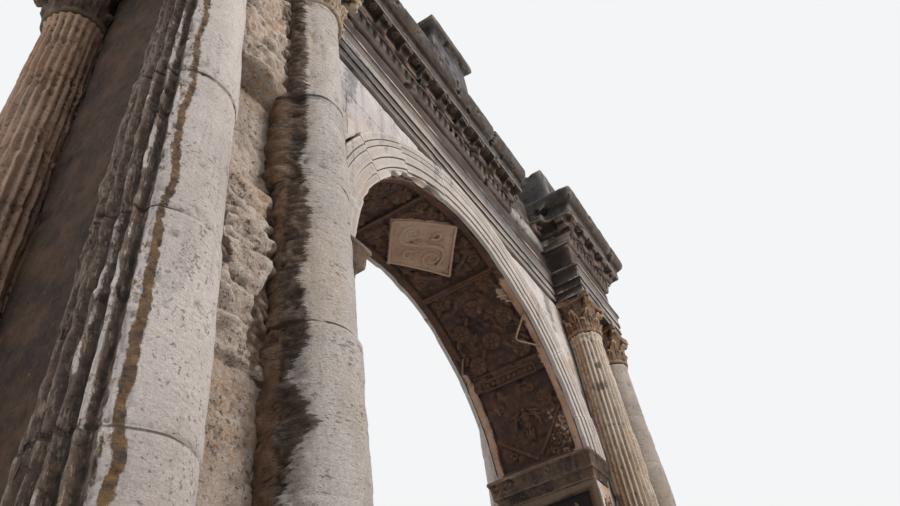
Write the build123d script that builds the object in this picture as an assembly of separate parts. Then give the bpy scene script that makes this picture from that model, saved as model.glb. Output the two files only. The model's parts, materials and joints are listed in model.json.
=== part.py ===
from build123d import *
import math
import os

# A triumphal arch with one bay and coupled columns, in millimetres.
# The origin is on the ground under the middle of the passage.
# The passage runs along Y, and the face that the photograph shows looks towards -Y.

# passage and wall
openingHalf = 2250.0       # half the width of the passage
wallHalf = 610.0           # half the thickness of the wall between the columns
archCentre = 4556.0        # height of the centre of the arch
archBand = 450.0           # width of the moulded band round the arch
archRelief = 70.0          # how far that band stands out from the wall
fasciaStep = 16.0          # step between two fasciae
crownHalf = 160.0          # half the width over the crown where the wall has no height
crownGap = 3.0             # bed joint over the crown
panelDepth = 50.0          # thickness of the carved slab on each jamb

# columns
jambToColumn = 710.0       # from the jamb to the axis of the inner column
columnSpacing = 1030.0     # between the two columns of a pair
columnStand = 186.0        # how far a column's axis stands out from the wall
endStand = 118.0           # how far a corner column's axis stands out from the end of the pier
footRadius = 288.0
neckRadius = 226.0
entasis = 5.0              # swelling at the middle of the shaft
fluteCount = 24
fluteShare = 0.76          # width of a flute as a share of its place
fluteFirst = 50.0          # turns between which a corner column of the front is fluted
fluteLast = 232.0
neckRing = 20.0            # how far the neck ring stands out
neckRingHeight = 42.0
neckPlain = 90.0           # plain neck between the flutes and the ring
shaftPlain = 60.0          # plain foot below the flutes

# heights
plinthHeight = 330.0
dadoHeight = 1170.0
pedestalCapHeight = 230.0
baseHeight = 290.0
capitalHeight = 590.0
impostTop = 4798.0
impostHeight = 330.0
architraveHeight = 480.0
friezeHeight = 450.0
dentilHeight = 210.0
modillionHeight = 130.0
coronaHeight = 420.0
atticCourseHeight = 330.0
atticDadoHeight = 1100.0
atticCapHeight = 300.0

# projections
pedestalMargin = 24.0      # pedestal beyond the column plinths
plinthStep = 120.0         # lowest course beyond the pedestal
pedestalCapStep = 90.0
wallPedestalMargin = 40.0  # pedestal beyond the wall next to the passage
impostReach = 150.0        # impost beyond the jamb
impostFace = 75.0          # impost beyond the wall face
entablatureStand = 38.0    # architrave face beyond the neck of the columns
wallArchitrave = 30.0      # architrave face beyond the wall
entablatureEnd = 75.0      # entablature end beyond the neck of the inner column
architraveLip = 62.0
dentilShelf = 46.0
dentilReach = 112.0
coronaReach = 256.0
corniceReach = 380.0
abacusShare = 1.42         # half the abacus as a share of the neck radius
plinthShare = 1.38         # half the column plinth as a share of the foot radius

# small parts
dentilWidth = 76.0
dentilSpace = 52.0
modillionWidth = 170.0
modillionSpacing = 435.0
modillionTip = 20.0        # clear of the corona's edge and of corners
dentilCorner = 8.0         # clear of an outer corner
dentilLip = 10.0           # shelf beyond the dentils

# attic
atticWallHalf = 520.0
atticEnd = 3850.0
middleBlockHalf = 455.0
middleBlockFace = 860.0
sideBlockHalf = 735.0
sideBlockFace = 1000.0
sideBlockAxis = 3475.0
atticCapStep = 100.0

# the broken stretch of the front cornice
breakStart = 1605.0        # where the cornice ends short of the right pair
breakSlant = 150.0

# soffit of the arch, with turns in degrees from the horizontal
panelSink = 45.0           # depth of the sunk panels
soffitBand = 130.0         # plain band along both edges of the soffit
crownPanelFoot = 71.0
rosettePanelTop = 69.5
rosettePanelFoot = 39.5
figurePanelTop = 34.5
figurePanelFoot = 8.5
lozengeLength = 1240.0     # raised panel at the crown, along the arch
lozengeWidth = 960.0
lozengeSink = 12.0         # how far its face lies behind the soffit

# iron rods left in the soffit
rodRadius = 11.0
rodInset = 48.0            # from the face of the arch to the front rod
rodTopTurn = 52.0
rodFootTurn = 40.5
rodDrop = 330.0            # how far the bend hangs from the soffit
rodBendTurn = 45.0

seam = 2.0                 # slope of a flat step in a stack of mouldings

innerAxis = openingHalf + jambToColumn
outerAxis = innerAxis + columnSpacing
columnLine = wallHalf + columnStand
pierEnd = outerAxis - endStand
archOuter = openingHalf + archBand
jambFace = openingHalf + panelDepth
architraveFoot = archCentre + archOuter + crownGap
pedestalTop = plinthHeight + dadoHeight + pedestalCapHeight
shaftFoot = pedestalTop + baseHeight
capitalFoot = architraveFoot - capitalHeight
friezeFoot = architraveFoot + architraveHeight
dentilFoot = friezeFoot + friezeHeight
corniceFoot = dentilFoot + dentilHeight
corniceTop = corniceFoot + modillionHeight + coronaHeight
pairFace = columnLine + neckRadius + entablatureStand
pairInner = innerAxis - neckRadius - entablatureEnd
pairOuter = outerAxis + neckRadius + entablatureStand
centreFace = wallHalf + wallArchitrave
plinthHalf = footRadius * plinthShare
pedestalFace = columnLine + plinthHalf + pedestalMargin
pedestalInner = innerAxis - plinthHalf - pedestalMargin
pedestalOuter = outerAxis + plinthHalf + pedestalMargin

os.makedirs("parts", exist_ok=True)


def save(node, shape):
    shape.label = node
    export_step(shape, f"parts/{node}.step")
    print(node, len(shape.solids()), "solids", round(shape.volume / 1e9, 4), "m3")


def box(x0, x1, y0, y1, z0, z1):
    return Pos((x0 + x1) / 2, (y0 + y1) / 2, (z0 + z1) / 2) * Box(x1 - x0, y1 - y0, z1 - z0)


def grown(outline, step):
    # moves every side of a right-angled outline outwards by one step
    points = []
    for i, (x, y) in enumerate(outline):
        x0, y0 = outline[i - 1]
        x1, y1 = outline[(i + 1) % len(outline)]
        before = math.hypot(x - x0, y - y0)
        after = math.hypot(x1 - x, y1 - y)
        nx = (y - y0) / before + (y1 - y) / after
        ny = (x0 - x) / before + (x - x1) / after
        points.append((x + nx * step, y + ny * step))
    return points


def slab(outline, step, z):
    return Plane.XY.offset(z) * make_face(Polyline(*grown(outline, step), close=True))


def course(outline, profile):
    # one moulded course, from pairs of step and height
    return loft([slab(outline, step, z) for step, z in profile], ruled=True)


def mirroredX(outline):
    return [(-x, y) for x, y in reversed(outline)]


def pierOutline(inner, pairIn, outer, wall, pair):
    # the right pier in plan: wall next to the passage, wider under the pair of columns
    return [(inner, -wall), (pairIn, -wall), (pairIn, -pair), (outer, -pair),
            (outer, pair), (pairIn, pair), (pairIn, wall), (inner, wall)]


def entablatureOutline():
    # the whole entablature in plan, broken forward over both pairs of columns
    right = [(pairInner, -centreFace), (pairInner, -pairFace), (pairOuter, -pairFace),
             (pairOuter, pairFace), (pairInner, pairFace), (pairInner, centreFace)]
    left = [(-x, -y) for x, y in right]
    return right + left


def coved(step0, z0, step1, z1, count=4):
    # hollow curve of a moulding, as points between two steps
    points = []
    for i in range(1, count + 1):
        turn = math.radians(90 * i / count)
        points.append((step0 + (step1 - step0) * (1 - math.cos(turn)), z0 + (z1 - z0) * math.sin(turn)))
    return points


def rounded(step0, z0, step1, z1, count=4):
    # swelling curve of a moulding, as points between two steps
    points = []
    for i in range(1, count + 1):
        turn = math.radians(90 * i / count)
        points.append((step0 + (step1 - step0) * math.sin(turn), z0 + (z1 - z0) * (1 - math.cos(turn))))
    return points


# pedestals

def pedestalPlinth(outline):
    z1 = plinthHeight * 0.62
    profile = [(plinthStep, 0), (plinthStep, z1), (plinthStep * 0.7, z1 + seam)]
    profile += coved(plinthStep * 0.7, z1 + seam, 0, plinthHeight)
    return course(outline, profile)


def pedestalDado(outline):
    return course(outline, [(0, plinthHeight), (0, plinthHeight + dadoHeight)])


def pedestalCap(outline):
    z0 = plinthHeight + dadoHeight
    z1 = z0 + pedestalCapHeight * 0.5
    profile = [(0, z0)] + coved(0, z0, pedestalCapStep * 0.8, z1)
    profile += [(pedestalCapStep, z1 + seam), (pedestalCapStep, pedestalTop)]
    return course(outline, profile)


# columns

def fluteAngles(first, last):
    pitch = 360 / fluteCount
    angles = [pitch * (i + 0.5) for i in range(fluteCount)]
    return [a for a in angles if first <= a <= last]


def shaftFace(radius, angles, z):
    face = Circle(radius)
    fluteRadius = radius * math.sin(math.pi / fluteCount) * fluteShare
    if angles:
        face -= [Rot(0, 0, a) * Pos(radius, 0) * Circle(fluteRadius) for a in angles]
    return Plane.XY.offset(z) * face


def shaft(angles):
    # tapered shaft round the Z axis, fluted where angles are given
    ringFoot = capitalFoot - neckRingHeight
    fluteTop = ringFoot - neckPlain
    fluteFoot = shaftFoot + shaftPlain
    middle = (fluteFoot + fluteTop) / 2
    swollen = (footRadius + neckRadius) / 2 + entasis
    heights = [(footRadius, fluteFoot), (swollen, middle), (neckRadius, fluteTop)]
    body = loft([shaftFace(r, angles, z) for r, z in heights], ruled=True)
    ring = neckRadius + neckRing
    flare = footRadius + neckRing
    foot = [(0, shaftFoot), (flare, shaftFoot), (flare, shaftFoot + shaftPlain * 0.5),
            (footRadius, fluteFoot), (0, fluteFoot)]
    neck = [(0, fluteTop), (neckRadius, fluteTop), (neckRadius, ringFoot),
            (ring, ringFoot + neckRingHeight * 0.3), (ring, ringFoot + neckRingHeight * 0.8),
            (neckRadius, capitalFoot), (0, capitalFoot)]
    for outline in (foot, neck):
        body += revolve(Plane.XZ * make_face(Polyline(*outline, close=True)), Axis.Z)
    return body


def columnBase():
    # square plinth, two rolls and the hollow between them
    plinthTop = pedestalTop + baseHeight * 0.3
    roll = baseHeight * 0.13
    hollow = baseHeight * 0.10
    small = baseHeight * 0.09
    wide = plinthHalf * 0.98
    narrow = footRadius + neckRing + small
    lip = narrow - small * 0.5
    z1 = plinthTop + 2 * roll
    z2 = z1 + 2 * hollow
    top = shaftFoot
    with BuildPart() as base:
        with BuildSketch(Plane.XZ):
            with BuildLine():
                Polyline((0, plinthTop), (wide - roll, plinthTop))
                ThreePointArc((wide - roll, plinthTop), (wide, plinthTop + roll), (wide - roll, z1))
                Line((wide - roll, z1), (narrow, z1))
                ThreePointArc((narrow, z1), (footRadius + neckRing * 0.5, z1 + hollow), (lip, z2))
                ThreePointArc((lip, z2), (narrow + small * 0.4, (z2 + top) / 2), (narrow - small, top))
                Polyline((narrow - small, top), (0, top), (0, plinthTop))
            make_face()
        revolve(axis=Axis.Z)
    return base.part + box(-plinthHalf, plinthHalf, -plinthHalf, plinthHalf, pedestalTop, plinthTop)


def leaf(foot, height, width, curl):
    # one upright leaf that leans out, curls over and narrows to its tip
    thick = curl * 0.45
    lean = neckRadius * 0.97
    tip = lean + curl * 1.6
    bend = lean + curl * 0.75
    with BuildPart() as tongue:
        with BuildSketch(Plane.XZ):
            with BuildLine():
                Spline((lean, foot), (lean + curl * 0.2, foot + height * 0.5),
                       (bend, foot + height * 0.92), (tip, foot + height))
                Polyline((tip, foot + height), (tip + thick * 0.2, foot + height * 0.86))
                Spline((tip + thick * 0.2, foot + height * 0.86), (bend + thick, foot + height * 0.74),
                       (lean + curl * 0.3 + thick, foot + height * 0.4), (lean + thick * 1.3, foot))
                Line((lean + thick * 1.3, foot), (lean, foot))
            make_face()
        extrude(amount=width / 2, both=True)
    sides = [(width * 0.42, 0), (width * 0.5, 0.5), (width * 0.3, 0.85)]
    rise = [(-y, foot + height * share) for y, share in sides]
    fall = [(y, foot + height * share) for y, share in reversed(sides)]
    with BuildSketch(Plane.YZ) as outline:
        with BuildLine():
            Spline(*rise, (0, foot + height), *fall)
            Line(fall[-1], rise[0])
        make_face()
    return tongue.part & extrude(outline.sketch, amount=2 * tip)


def capital():
    # bell, two rows of leaves, corner scrolls and a hollow-sided abacus
    abacusHeight = capitalHeight * 0.15
    abacusFoot = architraveFoot - abacusHeight
    bellTop = neckRadius * 1.22
    corner = neckRadius * abacusShare
    with BuildPart() as bell:
        with BuildSketch(Plane.XZ):
            with BuildLine():
                Line((0, capitalFoot), (neckRadius, capitalFoot))
                Spline((neckRadius, capitalFoot), (neckRadius * 1.0, capitalFoot + capitalHeight * 0.45),
                       (bellTop, abacusFoot))
                Polyline((bellTop, abacusFoot), (0, abacusFoot), (0, capitalFoot))
            make_face()
        revolve(axis=Axis.Z)
    top = Plane.XY.offset(abacusFoot) * Rectangle(2 * corner, 2 * corner)
    bite = corner * 2.6
    for a in (0, 90, 180, 270):
        top -= Plane.XY.offset(abacusFoot) * Rot(0, 0, a) * Pos(corner * 0.86 + bite, 0) * Circle(bite)
    solid = bell.part + extrude(top, abacusHeight)
    lower = leaf(capitalFoot, capitalHeight * 0.36, neckRadius * 0.72, neckRadius * 0.24)
    upper = leaf(capitalFoot, capitalHeight * 0.64, neckRadius * 0.62, neckRadius * 0.27)
    scroll = Pos(corner * 1.17, 0, abacusFoot - capitalHeight * 0.075) * Rot(90, 0, 0)
    scroll = scroll * Cylinder(capitalHeight * 0.075, neckRadius * 0.34)
    stalk = box(neckRadius * 0.8, corner * 1.15, -neckRadius * 0.1, neckRadius * 0.1,
                abacusFoot - capitalHeight * 0.16, abacusFoot)
    parts = []
    for i in range(8):
        parts.append(Rot(0, 0, 45 * i + 22.5) * lower)
        parts.append(Rot(0, 0, 45 * i) * upper)
    for i in range(4):
        parts.append(Rot(0, 0, 90 * i + 45) * scroll)
        parts.append(Rot(0, 0, 90 * i + 45) * stalk)
    room = box(-2 * corner, 2 * corner, -2 * corner, 2 * corner, capitalFoot, architraveFoot)
    return (solid + parts) & room


def onPier(shape, axis, side, end):
    # a column piece moved to its place on one of the four corners, cut to seat on the wall
    placed = Pos(side * axis, end * columnLine, 0) * shape
    wall = box(min(0, side * pierEnd), max(0, side * pierEnd), -wallHalf, wallHalf, 0, architraveFoot)
    return (placed - wall).solids().sort_by(SortBy.VOLUME)[-1]


# walls, arch and passage

def archSection(points):
    # turns an outline of radius and depth round the arch and keeps what is above the imposts
    face = make_face(Polyline(*[(r, y) for r, y in points], close=True))
    ring = revolve(face, Axis.Y, 360)
    reach = archOuter * 1.5
    return Pos(0, 0, archCentre) * ring & box(-reach, reach, -reach, reach, impostTop, archCentre + reach)


def turnedBox(radius0, radius1, half, start, end):
    # part of a ring round the arch, between two turns
    outline = Polyline((radius0, -half), (radius1, -half), (radius1, half), (radius0, half), close=True)
    return Pos(0, 0, archCentre) * Rot(0, -start, 0) * revolve(make_face(outline), Axis.Y, start - end)


def archRing():
    # vault of the passage, with sunk panels between plain bands and a raised lozenge at the crown
    depth = wallHalf - archRelief * 0.5
    ring = archSection([(openingHalf, -depth), (archOuter, -depth), (archOuter, depth), (openingHalf, depth)])
    half = wallHalf - soffitBand
    turns = [(crownPanelFoot, 180 - crownPanelFoot)]
    for low, high in ((rosettePanelFoot, rosettePanelTop), (figurePanelFoot, figurePanelTop)):
        turns += [(low, high), (180 - high, 180 - low)]
    for low, high in turns:
        ring -= turnedBox(openingHalf - panelSink, openingHalf + panelSink, half, low, high)
    lozenge = make_face(Polyline((lozengeLength / 2, 0), (0, lozengeWidth / 2), (-lozengeLength / 2, 0),
                                 (0, -lozengeWidth / 2), close=True))
    prism = extrude(Plane.XY.offset(archCentre) * lozenge, archOuter)
    shell = turnedBox(openingHalf + lozengeSink, openingHalf + panelSink + lozengeSink, half,
                      crownPanelFoot, 180 - crownPanelFoot)
    return ring + (prism & shell)


def onArch(radius, turn, y):
    angle = math.radians(turn)
    return Vector(radius * math.cos(angle), y, archCentre + radius * math.sin(angle))


def rod(points):
    # straight bars between points, rounded where they meet, cut off at the soffit
    bar = None
    for start, end in zip(points, points[1:]):
        run = end - start
        piece = extrude(Plane(start, z_dir=run) * Circle(rodRadius), run.length)
        bar = piece if bar is None else bar + piece
    for point in points[1:-1]:
        bar += Pos(*point) * Sphere(rodRadius)
    ring = Pos(0, 0, archCentre) * Rot(90, 0, 0) * (Cylinder(archOuter, 4 * wallHalf)
                                                    - Cylinder(openingHalf, 5 * wallHalf))
    return (bar - ring).solids().sort_by(SortBy.VOLUME)[-1]


def ironRods():
    front = -(wallHalf - rodInset)
    back = wallHalf - soffitBand * 0.5
    into = openingHalf + rodRadius
    bent = [onArch(into, rodTopTurn, front), onArch(openingHalf - rodDrop, rodBendTurn, front),
            onArch(into, rodFootTurn, front)]
    stub = [onArch(into, rodBendTurn + 2, back), onArch(openingHalf - rodDrop * 0.6, rodBendTurn - 2, back)]
    return Compound(children=[rod(bent), rod(stub)])


def archivolt(end):
    # three fasciae and an outer moulding round one face of the arch
    inner = wallHalf - archRelief * 0.5
    fascia = archBand * 0.24
    base = wallHalf + archRelief - 3 * fasciaStep
    r = openingHalf
    points = [(r, inner)]
    for i in range(3):
        points.append((r + fascia * i, base + fasciaStep * i))
        points.append((r + fascia * (i + 1), base + fasciaStep * i))
    points += [(archOuter - archBand * 0.12, wallHalf + archRelief), (archOuter, wallHalf + archRelief),
               (archOuter, inner)]
    return archSection([(r, end * y) for r, y in points])


def spandrelWall(side):
    # pier wall and spandrel of one side, cut by the arch
    lower = box(jambFace, pierEnd, -wallHalf, wallHalf, pedestalTop, impostTop)
    upper = box(crownHalf, pierEnd, -wallHalf, wallHalf, impostTop, architraveFoot)
    cut = Pos(0, 0, archCentre) * Rot(90, 0, 0) * Cylinder(archOuter, 4 * wallHalf)
    wall = lower + (upper - cut)
    return wall if side > 0 else mirror(wall, Plane.YZ)


def impost(side):
    # moulded cap of the jamb that carries the arch
    z0 = impostTop - impostHeight
    z1 = z0 + impostHeight * 0.35
    z2 = z0 + impostHeight * 0.62
    reach = innerAxis - footRadius

    def layer(share, z):
        x0 = openingHalf - impostReach * share
        y = wallHalf + impostFace * share
        outline = Polyline((x0, -y), (reach, -y), (reach, y), (x0, y), close=True)
        return Plane.XY.offset(z) * make_face(outline)

    shares = [(0.1, z0), (0.1, z0 + impostHeight * 0.12)] + coved(0.2, z0 + impostHeight * 0.14, 0.5, z1)
    shares += [(0.62, z1 + seam), (0.66, z2)] + coved(0.7, z2 + seam, 0.95, impostTop - impostHeight * 0.15)
    shares += [(1.0, impostTop - impostHeight * 0.15 + seam), (1.0, impostTop)]
    cap = loft([layer(s, z) for s, z in shares], ruled=True)
    cap -= box(jambFace, reach * 2, -wallHalf, wallHalf, 0, impostTop + impostHeight)
    return cap if side > 0 else mirror(cap, Plane.YZ)


def jambPanel(side):
    # carved slab that lines the passage, with a sunk field
    border = 110.0
    sink = panelDepth * 0.4
    top = impostTop - impostHeight
    panel = box(openingHalf, jambFace, -wallHalf, wallHalf, pedestalTop, top)
    panel -= box(openingHalf, openingHalf + sink, -wallHalf + border, wallHalf - border,
                 pedestalTop + border, top - border)
    return panel if side > 0 else mirror(panel, Plane.YZ)


# entablature

def architrave():
    outline = entablatureOutline()
    h = architraveHeight
    z = architraveFoot
    lip = architraveLip
    profile = [(0, z), (0, z + h * 0.22), (fasciaStep, z + h * 0.22 + seam), (fasciaStep, z + h * 0.49),
               (2 * fasciaStep, z + h * 0.49 + seam), (2 * fasciaStep, z + h * 0.78)]
    profile += coved(2 * fasciaStep, z + h * 0.78, lip, z + h * 0.92)
    profile += [(lip, z + h)]
    return course(outline, profile)


def frieze():
    return course(entablatureOutline(), [(0, friezeFoot), (0, dentilFoot)])


def edges(outline):
    # each side of an outline: start, direction, length and whether its two corners turn inwards
    found = []
    count = len(outline)
    for i, (x, y) in enumerate(outline):
        x1, y1 = outline[(i + 1) % count]
        xb, yb = outline[i - 1]
        xa, ya = outline[(i + 2) % count]
        length = math.hypot(x1 - x, y1 - y)
        ux, uy = (x1 - x) / length, (y1 - y) / length
        hollowStart = (x - xb) * uy - (y - yb) * ux < 0
        hollowEnd = ux * (ya - y1) - uy * (xa - x1) < 0
        found.append(((x, y), (ux, uy), length, hollowStart, hollowEnd))
    return found


def toothed(outline, depth):
    # outline with a row of dentils along every side, as points
    points = []
    for (x, y), (ux, uy), length, hollowStart, hollowEnd in edges(outline):
        first = dentilSpace + depth if hollowStart else dentilCorner
        last = length - (dentilSpace + depth if hollowEnd else dentilCorner)
        count = max(2, round((last - first + dentilSpace) / (dentilWidth + dentilSpace)))
        pitch = (last - first - dentilWidth) / (count - 1)
        points.append((x, y))
        for k in range(count):
            s = first + k * pitch
            for t, d in ((s, 0), (s, depth), (s + dentilWidth, depth), (s + dentilWidth, 0)):
                points.append((x + ux * t + uy * d, y + uy * t - ux * d))
    return points


def dentilCourse():
    # small moulding, a row of dentils and the shelf above it
    outline = entablatureOutline()
    z1 = dentilFoot + dentilHeight * 0.28
    z2 = corniceFoot - dentilHeight * 0.1
    low = course(outline, [(0, dentilFoot)] + rounded(0, dentilFoot, dentilShelf, z1))
    depth = dentilReach - dentilShelf - dentilLip
    teeth = make_face(Polyline(*toothed(grown(outline, dentilShelf), depth), close=True))
    row = extrude(Plane.XY.offset(z1) * teeth, z2 - z1)
    shelf = course(outline, [(dentilReach, z2), (dentilReach, corniceFoot)])
    return low + row + shelf


def modillion():
    # bracket with a scroll at its root and a smaller one at its tip, reaching along +Y from the origin
    reach = coronaReach - dentilReach - modillionTip
    drop = modillionHeight * 0.96
    with BuildPart() as bracket:
        with BuildSketch(Plane.YZ):
            with BuildLine():
                Polyline((0, -drop), (0, 0), (reach, 0), (reach, -drop * 0.32))
                Spline((reach, -drop * 0.32), (reach * 0.86, -drop * 0.52), (reach * 0.6, -drop * 0.42),
                       (reach * 0.34, -drop * 0.86), (0, -drop))
            make_face()
        extrude(amount=modillionWidth / 2, both=True)
    return bracket.part


def modillions(outline):
    # brackets under the corona along every side
    bracket = modillion()
    depth = coronaReach - dentilReach
    placed = []
    for (x, y), (ux, uy), length, hollowStart, hollowEnd in edges(grown(outline, dentilReach)):
        clear = modillionWidth / 2 + modillionTip
        first = corniceReach - dentilReach + clear if hollowStart else clear
        last = length - (corniceReach - dentilReach + clear if hollowEnd else clear)
        count = max(1, round((last - first) / modillionSpacing) + 1)
        if last < first:
            first = last = (first + last) / 2 if hollowStart != hollowEnd else length / 2
            count = 1
        turn = math.degrees(math.atan2(-ux, uy)) - 90
        for k in range(count):
            s = first if count == 1 else first + (last - first) * k / (count - 1)
            place = Pos(x + ux * s, y + uy * s, corniceFoot + modillionHeight)
            placed.append(place * Rot(0, 0, turn) * bracket)
    return placed


def corniceBlock():
    # bed for the modillions, corona and the curved gutter moulding
    outline = entablatureOutline()
    z1 = corniceFoot + modillionHeight
    z2 = z1 + coronaHeight * 0.42
    profile = [(dentilReach, corniceFoot), (dentilReach, z1), (coronaReach, z1 + seam), (coronaReach, z2)]
    profile += rounded(coronaReach, z2, corniceReach, corniceTop - coronaHeight * 0.1)
    profile += [(corniceReach, corniceTop)]
    return course(outline, profile) + modillions(outline)


def corniceRange(left, right, front, back):
    return box(left, right, front, back, corniceFoot, corniceTop)


def cornices():
    # the cornice in four stretches, with the front one broken off short of the right pair
    whole = corniceBlock()
    cut = pairInner - corniceReach
    far = pairOuter + 2 * corniceReach
    deep = pairFace + 2 * corniceReach
    left = whole & corniceRange(-far, -cut, -deep, deep)
    right = whole & corniceRange(cut, far, -deep, deep)
    front = whole & corniceRange(-cut, cut, -deep, 0)
    back = whole & corniceRange(-cut, cut, 0, deep)
    lost = make_face(Polyline((breakStart, -centreFace - dentilShelf), (breakStart + breakSlant, -deep),
                              (cut + 1, -deep), (cut + 1, -centreFace - dentilShelf), close=True))
    front -= extrude(Plane.XY.offset(corniceFoot) * lost, corniceTop - corniceFoot)
    return {"cornice_left": left, "cornice_right": right, "cornice_front": front, "cornice_back": back}


# attic

def atticCourse():
    return box(-atticEnd, atticEnd, -atticWallHalf, atticWallHalf, corniceTop, corniceTop + atticCourseHeight)


def atticBlock(axis, half, face, capped):
    # one pedestal of the attic, standing round the low wall
    outline = [(axis - half, -face), (axis + half, -face), (axis + half, face), (axis - half, face)]
    z0 = corniceTop
    z1 = z0 + atticDadoHeight
    block = course(outline, [(0, z0), (0, z1)])
    if capped:
        profile = [(0, z1)] + coved(0, z1, atticCapStep * 0.8, z1 + atticCapHeight * 0.5)
        profile += [(atticCapStep, z1 + atticCapHeight * 0.5 + seam), (atticCapStep, z1 + atticCapHeight)]
        block += course(outline, profile)
    return block


def buildAll():
    pedestal = pierOutline(openingHalf - wallPedestalMargin, pedestalInner, pedestalOuter,
                           wallHalf + wallPedestalMargin, pedestalFace)
    for name, outline in (("right", pedestal), ("left", mirroredX(pedestal))):
        save(f"plinth_{name}", pedestalPlinth(outline))
        save(f"pedestal_{name}", pedestalDado(outline))
        save(f"pedestal_cap_{name}", pedestalCap(outline))

    full = fluteAngles(0, 360)
    base = columnBase()
    top = capital()
    fluted = shaft(full)
    smooth = shaft([])
    endFluted = shaft(fluteAngles(fluteFirst, fluteLast))
    shafts = {
        ("left", "front"): (smooth, endFluted),
        ("right", "front"): (fluted, mirror(endFluted, Plane.YZ)),
        ("left", "back"): (fluted, fluted),
        ("right", "back"): (fluted, fluted),
    }
    for (sideName, endName), (inner, corner) in shafts.items():
        side = 1 if sideName == "right" else -1
        end = -1 if endName == "front" else 1
        place = f"{endName}_{sideName}"
        save(f"inner_shaft_{place}", onPier(inner, innerAxis, side, end))
        save(f"corner_shaft_{place}", onPier(corner, outerAxis, side, end))
        pair = [onPier(base, axis, side, end) for axis in (innerAxis, outerAxis)]
        save(f"column_bases_{place}", Compound(children=pair))
        pair = [onPier(top, axis, side, end) for axis in (innerAxis, outerAxis)]
        save(f"capitals_{place}", Compound(children=pair))

    for name, side in (("left", -1), ("right", 1)):
        save(f"wall_{name}", spandrelWall(side))
        save(f"impost_{name}", impost(side))
        save(f"jamb_panel_{name}", jambPanel(side))
    save("arch_ring", archRing())
    save("iron_rods", ironRods())
    save("archivolt_front", archivolt(-1))
    save("archivolt_back", archivolt(1))

    save("architrave", architrave())
    save("frieze", frieze())
    save("dentil_course", dentilCourse())
    for name, shape in cornices().items():
        save(name, shape)

    middle = atticBlock(0, middleBlockHalf, middleBlockFace, True)
    leftBlock = atticBlock(-sideBlockAxis, sideBlockHalf, sideBlockFace, True)
    rightBlock = atticBlock(sideBlockAxis, sideBlockHalf, sideBlockFace, False)
    save("attic_block_middle", middle)
    save("attic_block_left", leftBlock)
    save("attic_block_right", rightBlock)
    save("attic_course", atticCourse() - middle - leftBlock - rightBlock)


buildAll()
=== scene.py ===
import bpy
import bmesh
import itertools
import json
import math
import numpy as np
from mathutils import Matrix, Vector

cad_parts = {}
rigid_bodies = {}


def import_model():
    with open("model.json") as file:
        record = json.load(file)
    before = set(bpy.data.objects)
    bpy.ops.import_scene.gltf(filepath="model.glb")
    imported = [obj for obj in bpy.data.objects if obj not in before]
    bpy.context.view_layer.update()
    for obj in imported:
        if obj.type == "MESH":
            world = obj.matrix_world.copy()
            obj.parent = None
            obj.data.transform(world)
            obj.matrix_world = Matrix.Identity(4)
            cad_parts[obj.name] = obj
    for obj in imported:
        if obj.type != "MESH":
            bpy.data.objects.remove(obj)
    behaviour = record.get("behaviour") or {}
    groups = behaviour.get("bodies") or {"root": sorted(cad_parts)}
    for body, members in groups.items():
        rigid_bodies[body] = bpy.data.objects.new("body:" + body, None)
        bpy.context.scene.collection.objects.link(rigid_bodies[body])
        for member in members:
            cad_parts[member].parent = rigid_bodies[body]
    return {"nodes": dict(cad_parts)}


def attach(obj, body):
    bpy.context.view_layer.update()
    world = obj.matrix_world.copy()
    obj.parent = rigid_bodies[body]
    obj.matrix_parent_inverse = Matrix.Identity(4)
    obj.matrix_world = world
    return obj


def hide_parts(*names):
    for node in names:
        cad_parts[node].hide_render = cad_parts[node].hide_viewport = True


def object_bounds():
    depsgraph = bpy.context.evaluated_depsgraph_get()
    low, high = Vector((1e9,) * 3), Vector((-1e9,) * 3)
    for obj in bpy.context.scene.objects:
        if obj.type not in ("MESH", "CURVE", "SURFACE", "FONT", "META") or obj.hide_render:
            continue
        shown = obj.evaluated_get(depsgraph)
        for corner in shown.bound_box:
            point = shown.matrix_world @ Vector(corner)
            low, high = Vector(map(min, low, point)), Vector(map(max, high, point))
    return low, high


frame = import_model()
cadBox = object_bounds()
nodes = frame["nodes"]
scene = bpy.context.scene
print("frame loaded:", len(nodes), "nodes")


def srgb(code):
    # hex colour as written to the linear values that shaders take
    parts = [int(code[i:i + 2], 16) / 255 for i in (1, 3, 5)]
    return tuple(c / 12.92 if c <= 0.04045 else ((c + 0.055) / 1.055) ** 2.4 for c in parts) + (1.0,)


def addNode(tree, kind, settings):
    # one shader node: its own settings, and for its sockets numbers, hex colours or other nodes' outputs
    node = tree.nodes.new(kind)
    for key, value in settings.items():
        if isinstance(key, str) and key not in node.inputs:
            setattr(node, key, value)
        elif isinstance(value, bpy.types.NodeSocket):
            tree.links.new(value, node.inputs[key])
        else:
            node.inputs[key].default_value = srgb(value) if isinstance(value, str) else value
    return node.outputs


def put(name, data, matrix=None):
    thing = bpy.data.objects.new(name, data)
    if matrix:
        thing.matrix_world = matrix
    scene.collection.objects.link(thing)
    return thing


# from the sizes that the photograph and the arch agree on
cameraSettings = {
    "place": (-5.407, -2.830, 1.147),
    "heading": 65.27,     # turned from the passage axis towards +X
    "pitch": 41.93,
    "roll": -9.82,
    "lens": 28.49,
}


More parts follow.
